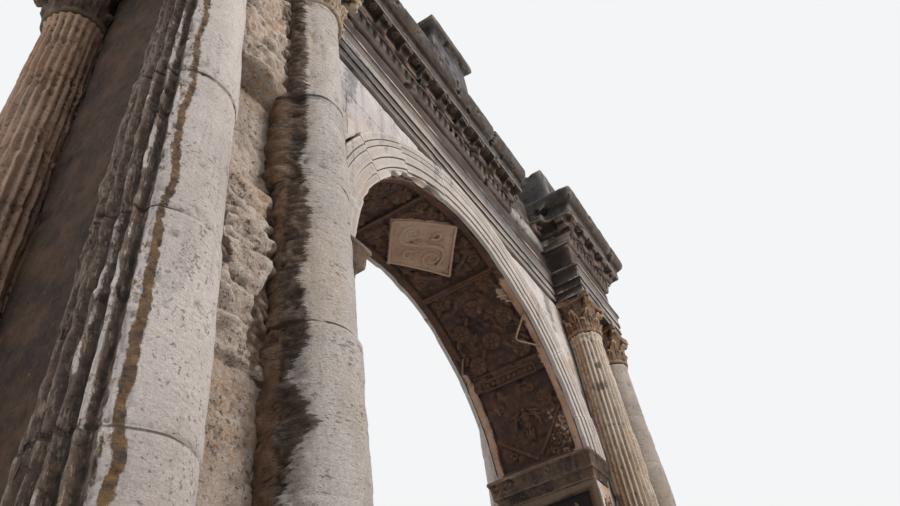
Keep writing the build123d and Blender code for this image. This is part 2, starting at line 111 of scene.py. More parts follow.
def addCamera(settings):
    heading, pitch, roll = (math.radians(settings[k]) for k in ("heading", "pitch", "roll"))
    level = math.cos(pitch)
    forward = Vector((math.sin(heading) * level, math.cos(heading) * level, math.sin(pitch)))
    right = Vector((math.cos(heading), -math.sin(heading), 0))
    up = right.cross(forward)
    tilted = right * math.cos(roll) + up * math.sin(roll)
    upright = up * math.cos(roll) - right * math.sin(roll)
    data = bpy.data.cameras.new("camera")
    data.lens = settings["lens"]
    data.sensor_width = 36
    data.clip_start = 0.05
    data.clip_end = 200
    turn = Matrix((tilted, upright, -forward)).transposed().to_4x4()
    scene.camera = put("camera", data, Matrix.Translation(settings["place"]) @ turn)


lightSettings = {
    "sky": "#ECEEF2",
    "skyStrength": 0.8,
    "backdrop": "#F4F5F6",
    "floor": "#C9C9C7",
    "aim": (0, 0, 5),
    # name, place, width of the disk in metres, watts, colour
    "lamps": (("key", (3.0, -16.0, 14.0), 9.0, 3000, "#FFFBF8"),
              ("fill", (-14.0, 4.0, 7.0), 8.0, 450, "#F6F8FF")),
}


def addLight(settings):
    scene.world = bpy.data.worlds.new("studio")
    scene.world.use_nodes = True
    tree = scene.world.node_tree
    tree.nodes.clear()
    rays = addNode(tree, "ShaderNodeLightPath", {})
    seen = rays["Is Camera Ray"]
    for ray in ("Is Glossy Ray", "Is Transmission Ray"):
        seen = addNode(tree, "ShaderNodeMath", {"operation": "MAXIMUM", 0: seen, 1: rays[ray]})[0]
    soft = addNode(tree, "ShaderNodeBackground",
                   {"Color": settings["sky"], "Strength": settings["skyStrength"]})
    pale = addNode(tree, "ShaderNodeBackground", {"Color": settings["backdrop"], "Strength": 1.0})
    mix = addNode(tree, "ShaderNodeMixShader", {0: seen, 1: soft[0], 2: pale[0]})
    addNode(tree, "ShaderNodeOutputWorld", {"Surface": mix[0]})
    for name, place, size, power, colour in settings["lamps"]:
        data = bpy.data.lights.new(name, "AREA")
        data.shape = "DISK"
        data.size = size
        data.energy = power
        data.color = srgb(colour)[:3]
        aim = Vector(settings["aim"]) - Vector(place)
        put(name, data, Matrix.Translation(place) @ aim.to_track_quat("-Z", "Y").to_matrix().to_4x4())


def meshOf(bm, name):
    mesh = bpy.data.meshes.new(name)
    bm.to_mesh(mesh)
    bm.free()
    return mesh


def addFloor(settings):
    bm = bmesh.new()
    bmesh.ops.create_grid(bm, x_segments=1, y_segments=1, size=40)
    floor = put("floor", meshOf(bm, "floor"))
    paint = bpy.data.materials.new("pale floor")
    paint.use_nodes = True
    shader = paint.node_tree.nodes["Principled BSDF"]
    shader.inputs["Base Color"].default_value = srgb(settings["floor"])
    shader.inputs["Roughness"].default_value = 0.9
    floor.data.materials.append(paint)


addCamera(cameraSettings)
addLight(lightSettings)
scene.view_settings.view_transform = "Standard"
addFloor(lightSettings)
print("camera, light and floor set")


# one limestone, as it weathers in different places: what a look doesn't name stays as it is here
stoneLook = {
    "patch": 2.2,         # lumps to the metre of the quarry tints
    "warmScale": 1.3, "warmStretch": (1, 1, 1), "warmShare": 0.8,
    "streak": "#85817E", "streakAt": (0.55, 0.72), "streakShare": 0.6,
    "soot": "#3C3430", "sootScale": 3.4, "sootAt": (0.62, 0.74), "sootShare": 0.8,
    "grain": 85.0,        # grains and shell fragments, 3 to 12 mm
    "speck": "#B5A99C", "grainShare": 0.85,
    "pitSize": 0.014,     # metres, left by shells and frost and crowded in some places
    # the pit colour is painted shade inside the holes
    "pit": "#5A4C40", "pitStretch": (1, 1, 1), "pitShare": 0.06, "pitDark": 0.6, "pitDepth": 0.8,
    # the colour for hollows darkens them as painted shade
    "chip": "#CFC6BA", "chipShare": 0.45, "hollowShade": "#40362F", "hollowShadeShare": 0.6,
    # stains and painted shade set by place, each from its darker to its lighter tint
    "marks": ("stain", "rust"), "stainAndShadeShare": 0.92, "markShare": 0.92,
    # these dark tints are also laid as painted shade where shade falls
    "stain": ("#2B2320", "#57422F"),     # algae and gypsum crust that the rain doesn't reach
    "rust": ("#5E3D1E", "#8E6A3E"), "moss": ("#3F4A26", "#6B6C35"),
    "frayScale": 22.0, "frayStretch": (1, 1, 1), "toneScale": 5.0,
    "flake": "#8F8172", "flakeAt": (0.56, 0.66), "flakeStretch": (1, 1, 0.45), "flakeShare": 0.5,
    # the groove colour paints shade into the hollows of stained parts
    "ridge": "#93867A", "ridgeShare": 0.5, "groove": "#1C1715",
    "joints": (),         # block length and height, how far the pattern is moved, and its two axes
    "jointColour": "#362C26",
    "lines": (),          # wander, width, colour, whether it is cut in, and the heights of its lines
    "reliefScale": 26.0, "reliefStretch": (1, 1, 1.6), "relief": 0.9, "bump": 0.9, "depth": 0.010,
}


def laidOver(tree, colour, layers):
    # each layer: what it follows, where it starts, where it is full, how strong, its colour and blend
    for follows, low, high, share, tint, blend in layers:
        cover = addNode(tree, "ShaderNodeMapRange",
                        {"Value": follows, "From Min": low, "From Max": high, "To Max": share})[0]
        colour = addNode(tree, "ShaderNodeMix", {"data_type": "RGBA", "blend_type": blend,
                                                 0: cover, 6: colour, 7: tint})[2]
    return colour


def clouds(tree, place, kinds):
    # soft noise for each kind: lumps to the metre, detail, roughness, stretch and shift
    made = {}
    for kind, (scale, detail, rough, stretch, shift) in kinds.items():
        spot = addNode(tree, "ShaderNodeMapping",
                       {"Scale": stretch, "Location": (shift, shift, shift), "Vector": place})[0]
        made[kind] = addNode(tree, "ShaderNodeTexNoise",
                             {"Scale": scale, "Detail": detail, "Roughness": rough, "Vector": spot})["Fac"]
    return made


def stone(name, look):
    look = {**stoneLook, **look}
    mat = bpy.data.materials.new(name)
    mat.use_nodes = True
    tree = mat.node_tree
    place = addNode(tree, "ShaderNodeTexCoord", {})["Object"]
    axes = addNode(tree, "ShaderNodeSeparateXYZ", {0: place})
    bend = addNode(tree, "ShaderNodeNewGeometry", {})["Pointiness"]
    even = (1, 1, 1)
    noise = clouds(tree, place, {
        "patch": (look["patch"], 6.0, 0.62, even, 0.0),
        "warm": (look["warmScale"], 5.0, 0.65, look["warmStretch"], 7.3),
        "streak": (1.0, 5.0, 0.68, (13.0, 13.0, 0.8), 4.4),     # a few centimetres wide, up to a metre long
        "soot": (look["sootScale"], 8.0, 0.72, (1, 1, 0.6), 11.0),
        "grain": (look["grain"], 4.0, 0.75, even, 2.1),
        "hole": (0.55 / look["pitSize"], 3.0, 0.55, look["pitStretch"], 1.7),
        "crowd": (5.0, 4.0, 0.65, even, 9.0),
        "fray": (look["frayScale"], 6.0, 0.75, look["frayStretch"], 3.0),
        "tone": (look["toneScale"], 7.0, 0.72, even, 5.0),
        "flake": (38.0, 6.0, 0.75, look["flakeStretch"], 8.0),
        "rise": (look["reliefScale"], 6.0, 0.7, look["reliefStretch"], 0.0),
    })
    crowd = addNode(tree, "ShaderNodeMapRange", {"Value": noise["crowd"], "From Min": 0.34, "From Max": 0.66,
                                                 "To Min": -0.10, "To Max": look["pitShare"]})[0]
    pit = addNode(tree, "ShaderNodeMath", {"operation": "ADD", 0: noise["hole"], 1: crowd})[0]
    pit = addNode(tree, "ShaderNodeMapRange", {"Value": pit, "From Min": 0.60, "From Max": 0.66})[0]
    colour = laidOver(tree, look["tints"][0], (
        (noise["patch"], 0.36, 0.60, 1.0, look["tints"][1], "MIX"),
        (noise["warm"], 0.52, 0.68, look["warmShare"], look["tints"][2], "MIX"),
        (noise["streak"], *look["streakAt"], look["streakShare"], look["streak"], "MIX"),
        (noise["soot"], *look["sootAt"], look["sootShare"], look["soot"], "MIX"),
        (noise["grain"], 0.67, 0.33, look["grainShare"], look["speck"], "MULTIPLY"),
        # pits are darkened as painted shade in the holes
        (pit, 0.0, 1.0, look["pitDark"], look["pit"], "MIX"),
        # edges are chipped back to pale stone, and hollows are darkened as painted shade
        (bend, 0.505, 0.56, look["chipShare"], look["chip"], "MIX"),
        (bend, 0.497, 0.44, look["hollowShadeShare"], look["hollowShade"], "MIX"),
    ))
    # stains and painted shade: the noise frays their edges into the grain
    for kind in look["marks"]:
        amount = addNode(tree, "ShaderNodeAttribute", {"attribute_name": kind})["Fac"]
        amount = addNode(tree, "ShaderNodeMath", {"operation": "MULTIPLY_ADD", 0: noise["fray"], 1: 1.9,
                                                  2: amount})[0]
        layer = laidOver(tree, look[kind][0], [(noise["tone"], 0.36, 0.64, 1.0, look[kind][1], "MIX")])
        if kind == "stain":
            layer = laidOver(tree, layer, (
                (noise["flake"], *look["flakeAt"], look["flakeShare"], look["flake"], "MIX"),
                (bend, 0.503, 0.54, look["ridgeShare"], look["ridge"], "MIX"),
                # hollows inside the stain are painted near-black as shade
                (bend, 0.498, 0.46, 0.7, look["groove"], "MIX"),
            ))
        share = look["stainAndShadeShare"] if kind == "stain" else look["markShare"]
        colour = laidOver(tree, colour, [(amount, 1.41, 1.61, share, layer, "MIX")])
    # open joints between blocks, as thin dark lines that wander a little
    for size, shift, along in look["joints"]:
        wander = clouds(tree, place, {"wander": (6.0, 3.0, 0.6, even, 0.0)})["wander"]
        bent = [addNode(tree, "ShaderNodeMath",
                        {"operation": "MULTIPLY_ADD", 0: wander, 1: 0.035, 2: axes[i]})[0]
                for i in along]
        flat = addNode(tree, "ShaderNodeCombineXYZ", {0: bent[0], 1: bent[1]})[0]
        moved = (shift[0] + 50.0 * size[0] - 0.0175, shift[1] - 0.0175, 0.0)
        flat = addNode(tree, "ShaderNodeMapping", {"Location": moved, "Vector": flat})[0]
        brick = addNode(tree, "ShaderNodeTexBrick", {
            "Vector": flat, "Scale": 1.0, "Mortar Size": 0.0045, "Mortar Smooth": 0.4,
            "Brick Width": size[0], "Row Height": size[1], "offset": 0.43})["Fac"]
        colour = laidOver(tree, colour, [(brick, 0.0, 1.0, 0.85, look["jointColour"], "MIX")])
        pit = addNode(tree, "ShaderNodeMath", {"operation": "MAXIMUM", 0: pit, 1: brick})[0]
    # thin lines at set heights: drum joints and the shadows of mouldings
    for wander, width, shade, cut, heights in look["lines"]:
        soft = clouds(tree, place, {"drift": (2.6, 3.0, 0.5, even, 0.0), "gaps": (7.0, 4.0, 0.7, even, 6.0)})
        broken = addNode(tree, "ShaderNodeMapRange", {"Value": soft["gaps"], "From Min": 0.36,
                                                      "From Max": 0.52, "To Min": 0.25})[0]
        level = addNode(tree, "ShaderNodeMath", {"operation": "MULTIPLY_ADD", 0: soft["drift"], 1: wander,
                                                 2: axes[2]})[0]
        for height in heights:
            away = addNode(tree, "ShaderNodeMath", {"operation": "SUBTRACT", 0: level,
                                                    1: height + wander / 2})[0]
            away = addNode(tree, "ShaderNodeMath", {"operation": "ABSOLUTE", 0: away})[0]
            thin = addNode(tree, "ShaderNodeMapRange", {"Value": away, "From Min": width,
                                                        "From Max": width * 0.45})[0]
            thin = addNode(tree, "ShaderNodeMath", {"operation": "MULTIPLY", 0: thin, 1: broken})[0]
            colour = laidOver(tree, colour, [(thin, 0.0, 1.0, 0.9, shade, "MIX")])
            if cut:
                pit = addNode(tree, "ShaderNodeMath", {"operation": "MAXIMUM", 0: pit, 1: thin})[0]
    # relief: grain, weathering and pits
    height = 0.0
    for part, share in ((noise["grain"], 0.30), (noise["rise"], look["relief"]), (pit, -look["pitDepth"])):
        height = addNode(tree, "ShaderNodeMath",
                         {"operation": "MULTIPLY_ADD", 0: part, 1: share, 2: height})[0]
    bump = addNode(tree, "ShaderNodeBump",
                   {"Strength": look["bump"], "Distance": look["depth"], "Height": height})[0]
    rough = addNode(tree, "ShaderNodeMapRange", {"Value": noise["grain"], "From Min": 0.3, "From Max": 0.7,
                                                 "To Min": 0.82, "To Max": 0.97})[0]
    shader = tree.nodes["Principled BSDF"]
    shader.inputs["IOR"].default_value = 1.56
    shader.inputs["Specular IOR Level"].default_value = 0.3
    for socket, source in (("Base Color", colour), ("Roughness", rough), ("Normal", bump)):
        tree.links.new(source, shader.inputs[socket])
    return mat


columnLook = {
    # turned drums: pale and even, with fine pits and a warm bloom where the rain runs
    "tints": ("#BAB0AA", "#D2C9C3", "#C7B4A2"), "patch": 1.4, "warmShare": 0.55,
    "warmStretch": (1, 1, 0.5), "pitSize": 0.01, "pitShare": 0.03, "pitDark": 0.45, "sootShare": 0.2,
    "soot": "#7C746D", "grainShare": 0.5, "toneScale": 24.0, "stain": ("#2B1D16", "#6C5443"),
    "rust": ("#22140A", "#7A5729"), "streakShare": 0.45, "relief": 1.6, "depth": 0.014, "frayScale": 30.0,
    "frayStretch": (1, 1, 0.5), "flakeStretch": (1.8, 1.8, 0.35), "flakeShare": 0.75, "flake": "#A6967F",
    "flakeAt": (0.53, 0.61), "ridgeShare": 0.3,
}
columnStone = stone("column limestone, worn smooth", columnLook)
cornerStone = stone("corner column limestone, worn smooth", {
    # the same, with the hairline joints of its drums
    **columnLook, "lines": ((0.05, 0.0075, "#4A3F37", True, (2.37, 3.385, 4.39, 5.42)),),
})
farColumnStone = stone("column limestone, rust-edged", {
    # crisp pale flutes with painted shade in them and an orange run down one side
    **columnLook, "tints": ("#B7A593", "#CFBFAE", "#C2A27E"), "stain": ("#6A543F", "#9E8468"),
    "rust": ("#94663F", "#B48C68"),
})
outerStone = stone("column limestone, grey and rough", {
    # the smooth corner column of the far pair, duller than the near one
    **columnLook, "tints": ("#8F857C", "#A79C93", "#9E8A77"), "pitShare": 0.07, "sootShare": 0.35,
    "relief": 1.8,
})
innerStone = stone("column limestone, bedded", {
    # the bedding has weathered into level grooves that hold black crust
    "tints": ("#C5BDB7", "#DAD2CC", "#D0BDA8"), "warmShare": 0.85, "warmScale": 0.9,
    "warmStretch": (1.6, 1.6, 0.6), "pitSize": 0.012, "pitShare": 0.05, "pitStretch": (0.6, 0.6, 1.8),
    "pitDark": 0.5, "sootShare": 0.25, "grainShare": 0.6, "marks": ("stain", "rust", "moss"),
    "stain": ("#241710", "#5C422D"), "rust": ("#AC9478", "#CFBBA1"), "moss": ("#6E5542", "#A88A70"),
    "reliefScale": 34.0, "reliefStretch": (0.8, 0.8, 1.8), "depth": 0.018, "frayStretch": (0.5, 0.5, 2.4),
    "frayScale": 26.0, "relief": 1.7, "bump": 1.0, "ridgeShare": 0.3, "flakeStretch": (0.5, 0.5, 3.0),
    "flakeShare": 0.45, "flake": "#8A7358", "flakeAt": (0.53, 0.61), "streakShare": 0.3,
    "lines": ((0.05, 0.0075, "#453830", True, (3.39, 4.52, 5.36)),),
})
shelteredStone = stone("column limestone, sheltered", {
    # rain never reaches it: brown all over, with painted shade black in the flutes
    "tints": ("#9A7B69", "#B99B85", "#A37A58"), "sootShare": 0.5, "soot": "#3A2C23",
    "stain": ("#211916", "#3E2F25"), "chip": "#A08A70", "chipShare": 0.7, "flakeShare": 0.2,
    "ridgeShare": 0.3,
})
hackedStone = stone("wall limestone, hacked back", {
    # pick-marked and full of frost holes, painted dark inside as shade
    "tints": ("#B5A497", "#D0C2B5", "#B99877"), "pitSize": 0.013, "pitShare": 0.05, "pitDark": 0.7,
    "pit": "#4A3B30", "sootShare": 0.3, "sootScale": 2.5, "soot": "#6B5540",
    "stain": ("#231A15", "#5C3F27"), "rust": ("#8E6F52", "#B59878"), "relief": 2.0, "bump": 1.0,
    "flakeShare": 0.4,
})
wallStone = stone("wall limestone, rain-washed", {
    # broad sawn blocks, off-white with blue-grey runs
    "tints": ("#B8B1AF", "#CCC6C4", "#C2AE9C"), "warmShare": 0.6, "streak": "#8A8A8D",
    "streakShare": 0.75, "streakAt": (0.52, 0.66), "pitSize": 0.012, "pitShare": 0.03, "sootShare": 0.4,
    "bump": 0.65, "grainShare": 0.6, "stain": ("#261912", "#4B3727"), "stainAndShadeShare": 1.0,
    "flakeShare": 0.35, "flake": "#6E5743", "ridgeShare": 0.2, "rust": ("#5F5D5E", "#8D8A89"),
    "marks": ("stain", "rust", "moss"), "moss": ("#8F5F3B", "#B78C66"),
    "joints": (((1.35, 0.62), (0.31, 0.05), (0, 2)),),
})
bandStone = stone("moulded limestone, rain-washed", {
    # carved bands, off-white to cream, their grooves painted black as shade
    "tints": ("#9A918C", "#B4ABA6", "#A8917D"), "warmShare": 0.7, "warmScale": 2.2, "streak": "#8C8A8A",
    "pitSize": 0.012, "pitShare": 0.04, "sootShare": 0.35, "bump": 0.55, "hollowShadeShare": 0.85,
    "hollowShade": "#2E2622", "grainShare": 0.6, "stain": ("#2C211C", "#5A4537"), "rust": ("#62605F", "#8A8786"),
})
architraveStone = stone("architrave limestone, rain-washed", {
    # three stepped bands, each with a black line of painted shadow under its edge
    "tints": ("#665D58", "#877D77", "#746252"), "warmShare": 0.7, "warmScale": 1.6, "streak": "#605E5F",
    "streakShare": 0.7, "pitSize": 0.012, "pitShare": 0.03, "sootShare": 0.5, "bump": 0.55,
    "hollowShadeShare": 0.8, "hollowShade": "#2E2622", "grainShare": 0.6, "stain": ("#1F1614", "#3E302A"),
    "rust": ("#4E4B4C", "#787473"), "flakeShare": 0.15, "ridgeShare": 0.2, "ridge": "#75685F",
    # these lines are painted shadows under the steps of the bands
    "lines": ((0.01, 0.0085, "#2B2320", True, (7.272, 7.365, 7.494, 7.633)),
              (0.01, 0.006, "#4A3F38", True, (7.305, 7.402, 7.53, 7.7))),
})
friezeStone = stone("frieze limestone, run-stained", {
    # dull pink-brown below the drip of the cornice
    "tints": ("#372922", "#4A3933", "#3E2E25"), "streak": "#584C47", "streakShare": 0.35,
    "sootShare": 0.6, "soot": "#3A2F2A", "grainShare": 0.6, "bump": 0.7, "stain": ("#1E1613", "#392C26"),
    "rust": ("#3A322F", "#4F4541"), "flakeShare": 0.15, "ridgeShare": 0.2, "chip": "#85766C",
    "chipShare": 0.35, "ridge": "#6A5B52",
})
capitalStone = stone("carved limestone, sooted", {
    # leaves with soot patches, pale worn tips and hollows painted dark as shade
    "tints": ("#8A7661", "#A28D76", "#7A5638"), "warmScale": 3.0, "sootShare": 0.9, "sootAt": (0.5, 0.66),
    "sootScale": 6.0, "soot": "#33271F", "chip": "#BBAA95", "chipShare": 0.8, "hollowShade": "#211914",
    "hollowShadeShare": 0.95,
})
soffitStone = stone("vault limestone, soot-brown", {
    # never washed by rain: brown-black over a warm stone
    "tints": ("#AD8C76", "#C6A68F", "#A67E5E"), "warmShare": 0.7, "warmScale": 2.4, "sootShare": 0.4,
    "soot": "#4A3A2E", "pitShare": 0.0, "stain": ("#1F1310", "#4C3026"), "stainAndShadeShare": 0.96,
    "toneScale": 3.2, "flake": "#5E4332", "flakeShare": 0.25, "ridge": "#745239", "ridgeShare": 0.4,
    "relief": 1.5, "grainShare": 0.7, "chip": "#7E5F49", "chipShare": 0.3, "marks": ("stain",),
})
vaultCarvedStone = stone("vault carving, soot-brown", {
    # leaves and stems as dark as their ground, browner on top
    "tints": ("#34221B", "#4E352A", "#60402D"), "warmShare": 0.9, "warmScale": 3.0, "soot": "#211512",
    "pitSize": 0.012, "chip": "#7E5B40", "chipShare": 0.25, "marks": (), "hollowShade": "#191210",
    "hollowShadeShare": 0.9, "grainShare": 0.7,
})
lozengeStone = stone("vault carving, rubbed pale", {
    # the crown panel is cleaner than the rest, tan with dull edges
    "tints": ("#A98871", "#C2A28B", "#A0785A"), "warmShare": 0.7, "sootShare": 0.3, "soot": "#6F5644",
    "marks": (), "pitSize": 0.01, "pitShare": 0.0, "chip": "#B39C80", "chipShare": 0.4, "hollowShade": "#5A4636",
    "hollowShadeShare": 0.5, "bump": 0.7, "grainShare": 0.6,
})
corniceStone = stone("cornice limestone, black crust and moss", {
    # grey-black crust outside, pink-brown in the bays below, moss along the top
    "tints": ("#45413E", "#5D5752", "#4B3B30"), "sootShare": 0.9, "sootAt": (0.46, 0.62),
    "soot": "#292624", "streakShare": 0.35, "streak": "#7D7976", "pitSize": 0.018, "chip": "#8A827A",
    "chipShare": 0.7, "hollowShade": "#1B1715", "hollowShadeShare": 0.9, "marks": ("stain", "moss", "rust"),
    "stain": ("#221A16", "#4C3A2D"), "rust": ("#5A463C", "#86695A"), "flake": "#7D6A58",
    "flakeShare": 0.3, "bump": 1.0, "relief": 1.5, "lines": ((0.006, 0.01, "#8C857E", False, (8.545,)),),
})
atticStone = stone("attic limestone, grey crust", {
    # open to the sky: grey lichen film, painted shade black under the caps
    "tints": ("#454349", "#5B585E", "#4B4542"), "warmShare": 0.6, "sootShare": 0.85,
    "sootAt": (0.5, 0.66), "soot": "#353230", "streak": "#7A7677", "pitSize": 0.018, "chip": "#A09B95",
    "chipShare": 0.6, "hollowShade": "#23201E", "hollowShadeShare": 0.9, "marks": ("stain", "moss"),
    "stain": ("#201D1C", "#423C37"), "flakeShare": 0.3, "bump": 1.0, "relief": 1.5,
})
dentilStone = stone("dentil limestone, black crust", {
    # blunt brown-black teeth
    "tints": ("#33291F", "#4A3B30", "#573F2C"), "soot": "#1F1916", "stain": ("#1D1613", "#43342A"),
    "rust": ("#6E6A67", "#A39D97"), "flakeShare": 0.2, "chip": "#75614E", "chipShare": 0.4,
    "hollowShade": "#14100E", "hollowShadeShare": 0.9,
})
impostStone = stone("impost limestone, sooted", {
    # brown mouldings below the springing, painted black under their lips as shade
    "tints": ("#54433A", "#6C5848", "#61442F"), "warmScale": 2.4, "sootShare": 0.9, "sootAt": (0.46, 0.6),
    "soot": "#281D17", "chip": "#A08C75", "chipShare": 0.6, "hollowShade": "#1B1511", "hollowShadeShare": 0.9,
})
rustCapitalStone = stone("carved limestone, rust-stained", {
    # orange-brown where iron cramps above have bled into the leaves
    "tints": ("#6D5342", "#8C705A", "#744A2E"), "warmShare": 0.9, "warmScale": 3.0, "sootShare": 0.85,
    "sootAt": (0.48, 0.64), "sootScale": 6.0, "soot": "#2E2018", "chip": "#B59B7E", "chipShare": 0.7,
    "hollowShade": "#1D130E", "hollowShadeShare": 0.95, "bump": 1.0,
})
blackCapitalStone = stone("carved limestone, black crust", {
    # the capitals of the back, nearly black
    "tints": ("#3E3128", "#574539", "#5E432E"), "warmScale": 3.0, "sootShare": 0.9,
    "sootAt": (0.46, 0.62), "soot": "#1E1713", "chip": "#85705A", "chipShare": 0.5, "hollowShade": "#120E0C",
    "hollowShadeShare": 0.95,
})
footStone = stone("pedestal limestone, foot-worn", {
    # blocks that are rubbed smooth at hand height and darker near the ground
    "tints": ("#B1A497", "#C4B8AB", "#B39A7E"), "warmShare": 0.7, "sootShare": 0.7, "sootAt": (0.56, 0.7),
    "pitSize": 0.016, "pitShare": 0.07, "bump": 0.8,
    "joints": (((1.28, 0.585), (0.2, 0.255), (0, 2)), ((1.22, 0.585), (0.5, 0.255), (1, 2))),
})


def iron(name):
    # wrought iron left in the open: thick flaking rust under pale stone dust
    mat = bpy.data.materials.new(name)
    mat.use_nodes = True
    tree = mat.node_tree
    place = addNode(tree, "ShaderNodeTexCoord", {})["Object"]
    scale = clouds(tree, place, {"scale": (90.0, 5.0, 0.7, (1, 1, 1), 0.0)})["scale"]
    colour = laidOver(tree, "#4B3A2C", [(scale, 0.36, 0.64, 1.0, "#A08768", "MIX")])
    bump = addNode(tree, "ShaderNodeBump", {"Strength": 0.8, "Distance": 0.003, "Height": scale})[0]
    shader = tree.nodes["Principled BSDF"]
    shader.inputs["Roughness"].default_value = 0.9
    shader.inputs["Metallic"].default_value = 0.15
    tree.links.new(colour, shader.inputs["Base Color"])
    tree.links.new(bump, shader.inputs["Normal"])
    return mat


rustedIron = iron("wrought iron, dusty rust")
print("materials made")


# weathering: an even skin over a copy of a CAD node, then moved point by point

def finished(name, mesh, material, replaced=()):
    setPoints(mesh, points(mesh))
    mesh.materials.clear()
    mesh.materials.append(material)
    piece = put(name, mesh)
    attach(piece, "root")
    if replaced:
        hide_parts(*replaced)


def applied(mesh, kind, settings):
    # the mesh as it comes out of a modifier
    source = put("work", mesh)
    modifier = source.modifiers.new(kind.lower(), kind)
    for key, value in settings.items():
        setattr(modifier, key, value)
    done = bpy.data.meshes.new_from_object(source.evaluated_get(bpy.context.evaluated_depsgraph_get()))
    bpy.data.objects.remove(source)
    bpy.data.meshes.remove(mesh)
    return done


def copyOf(name):
    bm = bmesh.new()
    bm.from_mesh(nodes[name].data)
    bmesh.ops.remove_doubles(bm, verts=bm.verts, dist=0.0001)
    return meshOf(bm, "copy")


def evenSkin(mesh, voxel):
    size = voxel * 1.0
    return applied(mesh, "REMESH", {"mode": "VOXEL", "voxel_size": size, "use_smooth_shade": True})


def sliced(mesh, gaps):
    # cut across every so many metres, so that a long crisp moulding can be worn along its length
    bm = bmesh.new()
    bm.from_mesh(mesh)
    for axis, gap in enumerate(gaps):
        if not gap:
            continue
        along = [vert.co[axis] for vert in bm.verts]
        start = min(along)
        length = max(along) - start
        normal = Vector([float(i == axis) for i in range(3)])
        count = max(int(length / gap / (1.0)), 2)
        for i in range(1, count):
            bmesh.ops.bisect_plane(bm, geom=bm.verts[:] + bm.edges[:] + bm.faces[:], dist=0.0002,
                                   plane_co=normal * (start + length * i / count), plane_no=normal)
    bpy.data.meshes.remove(mesh)
    return meshOf(bm, "sliced")


def triangles(mesh):
    mesh.calc_loop_triangles()
    return len(mesh.loop_triangles)


def thinned(mesh, most):
    share = most / max(triangles(mesh), 1)
    return mesh if share >= 1 else applied(mesh, "DECIMATE", {"ratio": share})


def points(mesh, kind="co"):
    values = np.empty(len(mesh.vertices) * 3)
    mesh.vertices.foreach_get(kind, values)
    return values.reshape(-1, 3)


def setPoints(mesh, values):
    # wear never stands outside the box of the whole CAD model
    mesh.vertices.foreach_set("co", np.clip(values, cadBox[0], cadBox[1]).ravel())
    mesh.update()


def cloud(spots, size, seed, octaves=3, stretch=(1, 1, 1)):
    # smooth random values from about -1 to 1, with lumps of the given size in metres
    table = np.random.default_rng(seed).uniform(-1, 1, 8192)
    total = np.zeros(len(spots))
    for octave in range(octaves):
        grid = spots * (2 ** octave / size / np.array(stretch)) + 31.7 * (octave + 1)
        cell = np.floor(grid).astype(np.int64)
        part = grid - cell
        part = part * part * (3 - 2 * part)
        for corner in itertools.product((0, 1), repeat=3):
            at = cell + corner
            key = (at[:, 0] * 73856093) ^ (at[:, 1] * 19349663) ^ (at[:, 2] * 83492791)
            share = np.prod(np.where(corner, part, 1 - part), axis=1)
            total += table[key % 8192] * share * 0.5 ** octave
    return total


def smoothed(spots, edges, rounds):
    # each point moved to the middle of its neighbours, a few times
    count = np.bincount(edges.ravel(), minlength=len(spots))[:, None]
    for _ in range(rounds):
        total = np.zeros_like(spots)
        for a, b in ((0, 1), (1, 0)):
            for axis in range(3):
                total[:, axis] += np.bincount(edges[:, a], spots[edges[:, b], axis], len(spots))
        spots = total / np.maximum(count, 1)
    return spots


def step(value, low, high):
    # smooth change from 0 to 1 between two values
    share = np.clip((value - low) / (high - low), 0, 1)
    return share * share * (3 - 2 * share)


def band(value, low, full, fade, end):
    # 0, then 1 between two values, then 0 again
    return step(value, low, full) * (1 - step(value, fade, end))


wearLook = {
    "edgeRounds": 5,      # how far round an edge the loss reaches
    "edgeLoss": 0.5,      # share of an edge's height that is lost nearly everywhere
    "edgeChip": 1.6,      # more of it where chips have gone
    "chipSize": 0.28,
    "lump": 0.004,        # slow unevenness of the face, in metres
    "lumpSize": 0.45,
    "rough": 0.0022,      # fine unevenness
    "roughSize": 0.07,
    "bite": 0.012,        # depth of scattered losses
    "biteSize": 0.16,
    "biteAt": 0.55,
}


def wear(mesh, look):
    look = {**wearLook, **look}
    seed = look["seed"]
    spots = points(mesh)
    normal = points(mesh, "normal")
    edges = np.empty(len(mesh.edges) * 2, dtype=np.int32)
    mesh.edges.foreach_get("vertices", edges)
    soft = smoothed(spots, edges.reshape(-1, 2), look["edgeRounds"])
    ridge = np.clip(((spots - soft) * normal).sum(1), 0, None)
    chip = step(cloud(spots, look["chipSize"], seed + 1), 0.1, 0.7)
    move = -ridge * (look["edgeLoss"] + look["edgeChip"] * chip)
    move += look["lump"] * (cloud(spots, look["lumpSize"], seed + 2) - 0.5)
    move += look["rough"] * cloud(spots, look["roughSize"], seed + 3)
    loss = step(cloud(spots, look["biteSize"], seed + 4, 4), look["biteAt"], look["biteAt"] + 0.35)
    move -= look["bite"] * loss
    return spots, normal, move


def mark(mesh, marks):
    # a value for each point and each kind of mark, stains and painted shade among them, which the materials
    # read
    for kind, values in marks.items():
        layer = mesh.attributes.new(kind, "FLOAT", "POINT")
        layer.data.foreach_set("value", np.clip(values, 0, 1).astype(np.float32))


# columns: drums with open joints, worn smooth or fluted, stained by height and side, with painted shade in some
# flutes and on shaded sides

columnLine = 0.796        # axis of the columns in front of the middle of the wall
innerLine = 2.96          # axes of a pair's columns, and the middle of the wall between them
cornerLine = 3.99
pairMiddle = 3.475
plainWear = {"drumShift": 0.004, "lump": 0.004}

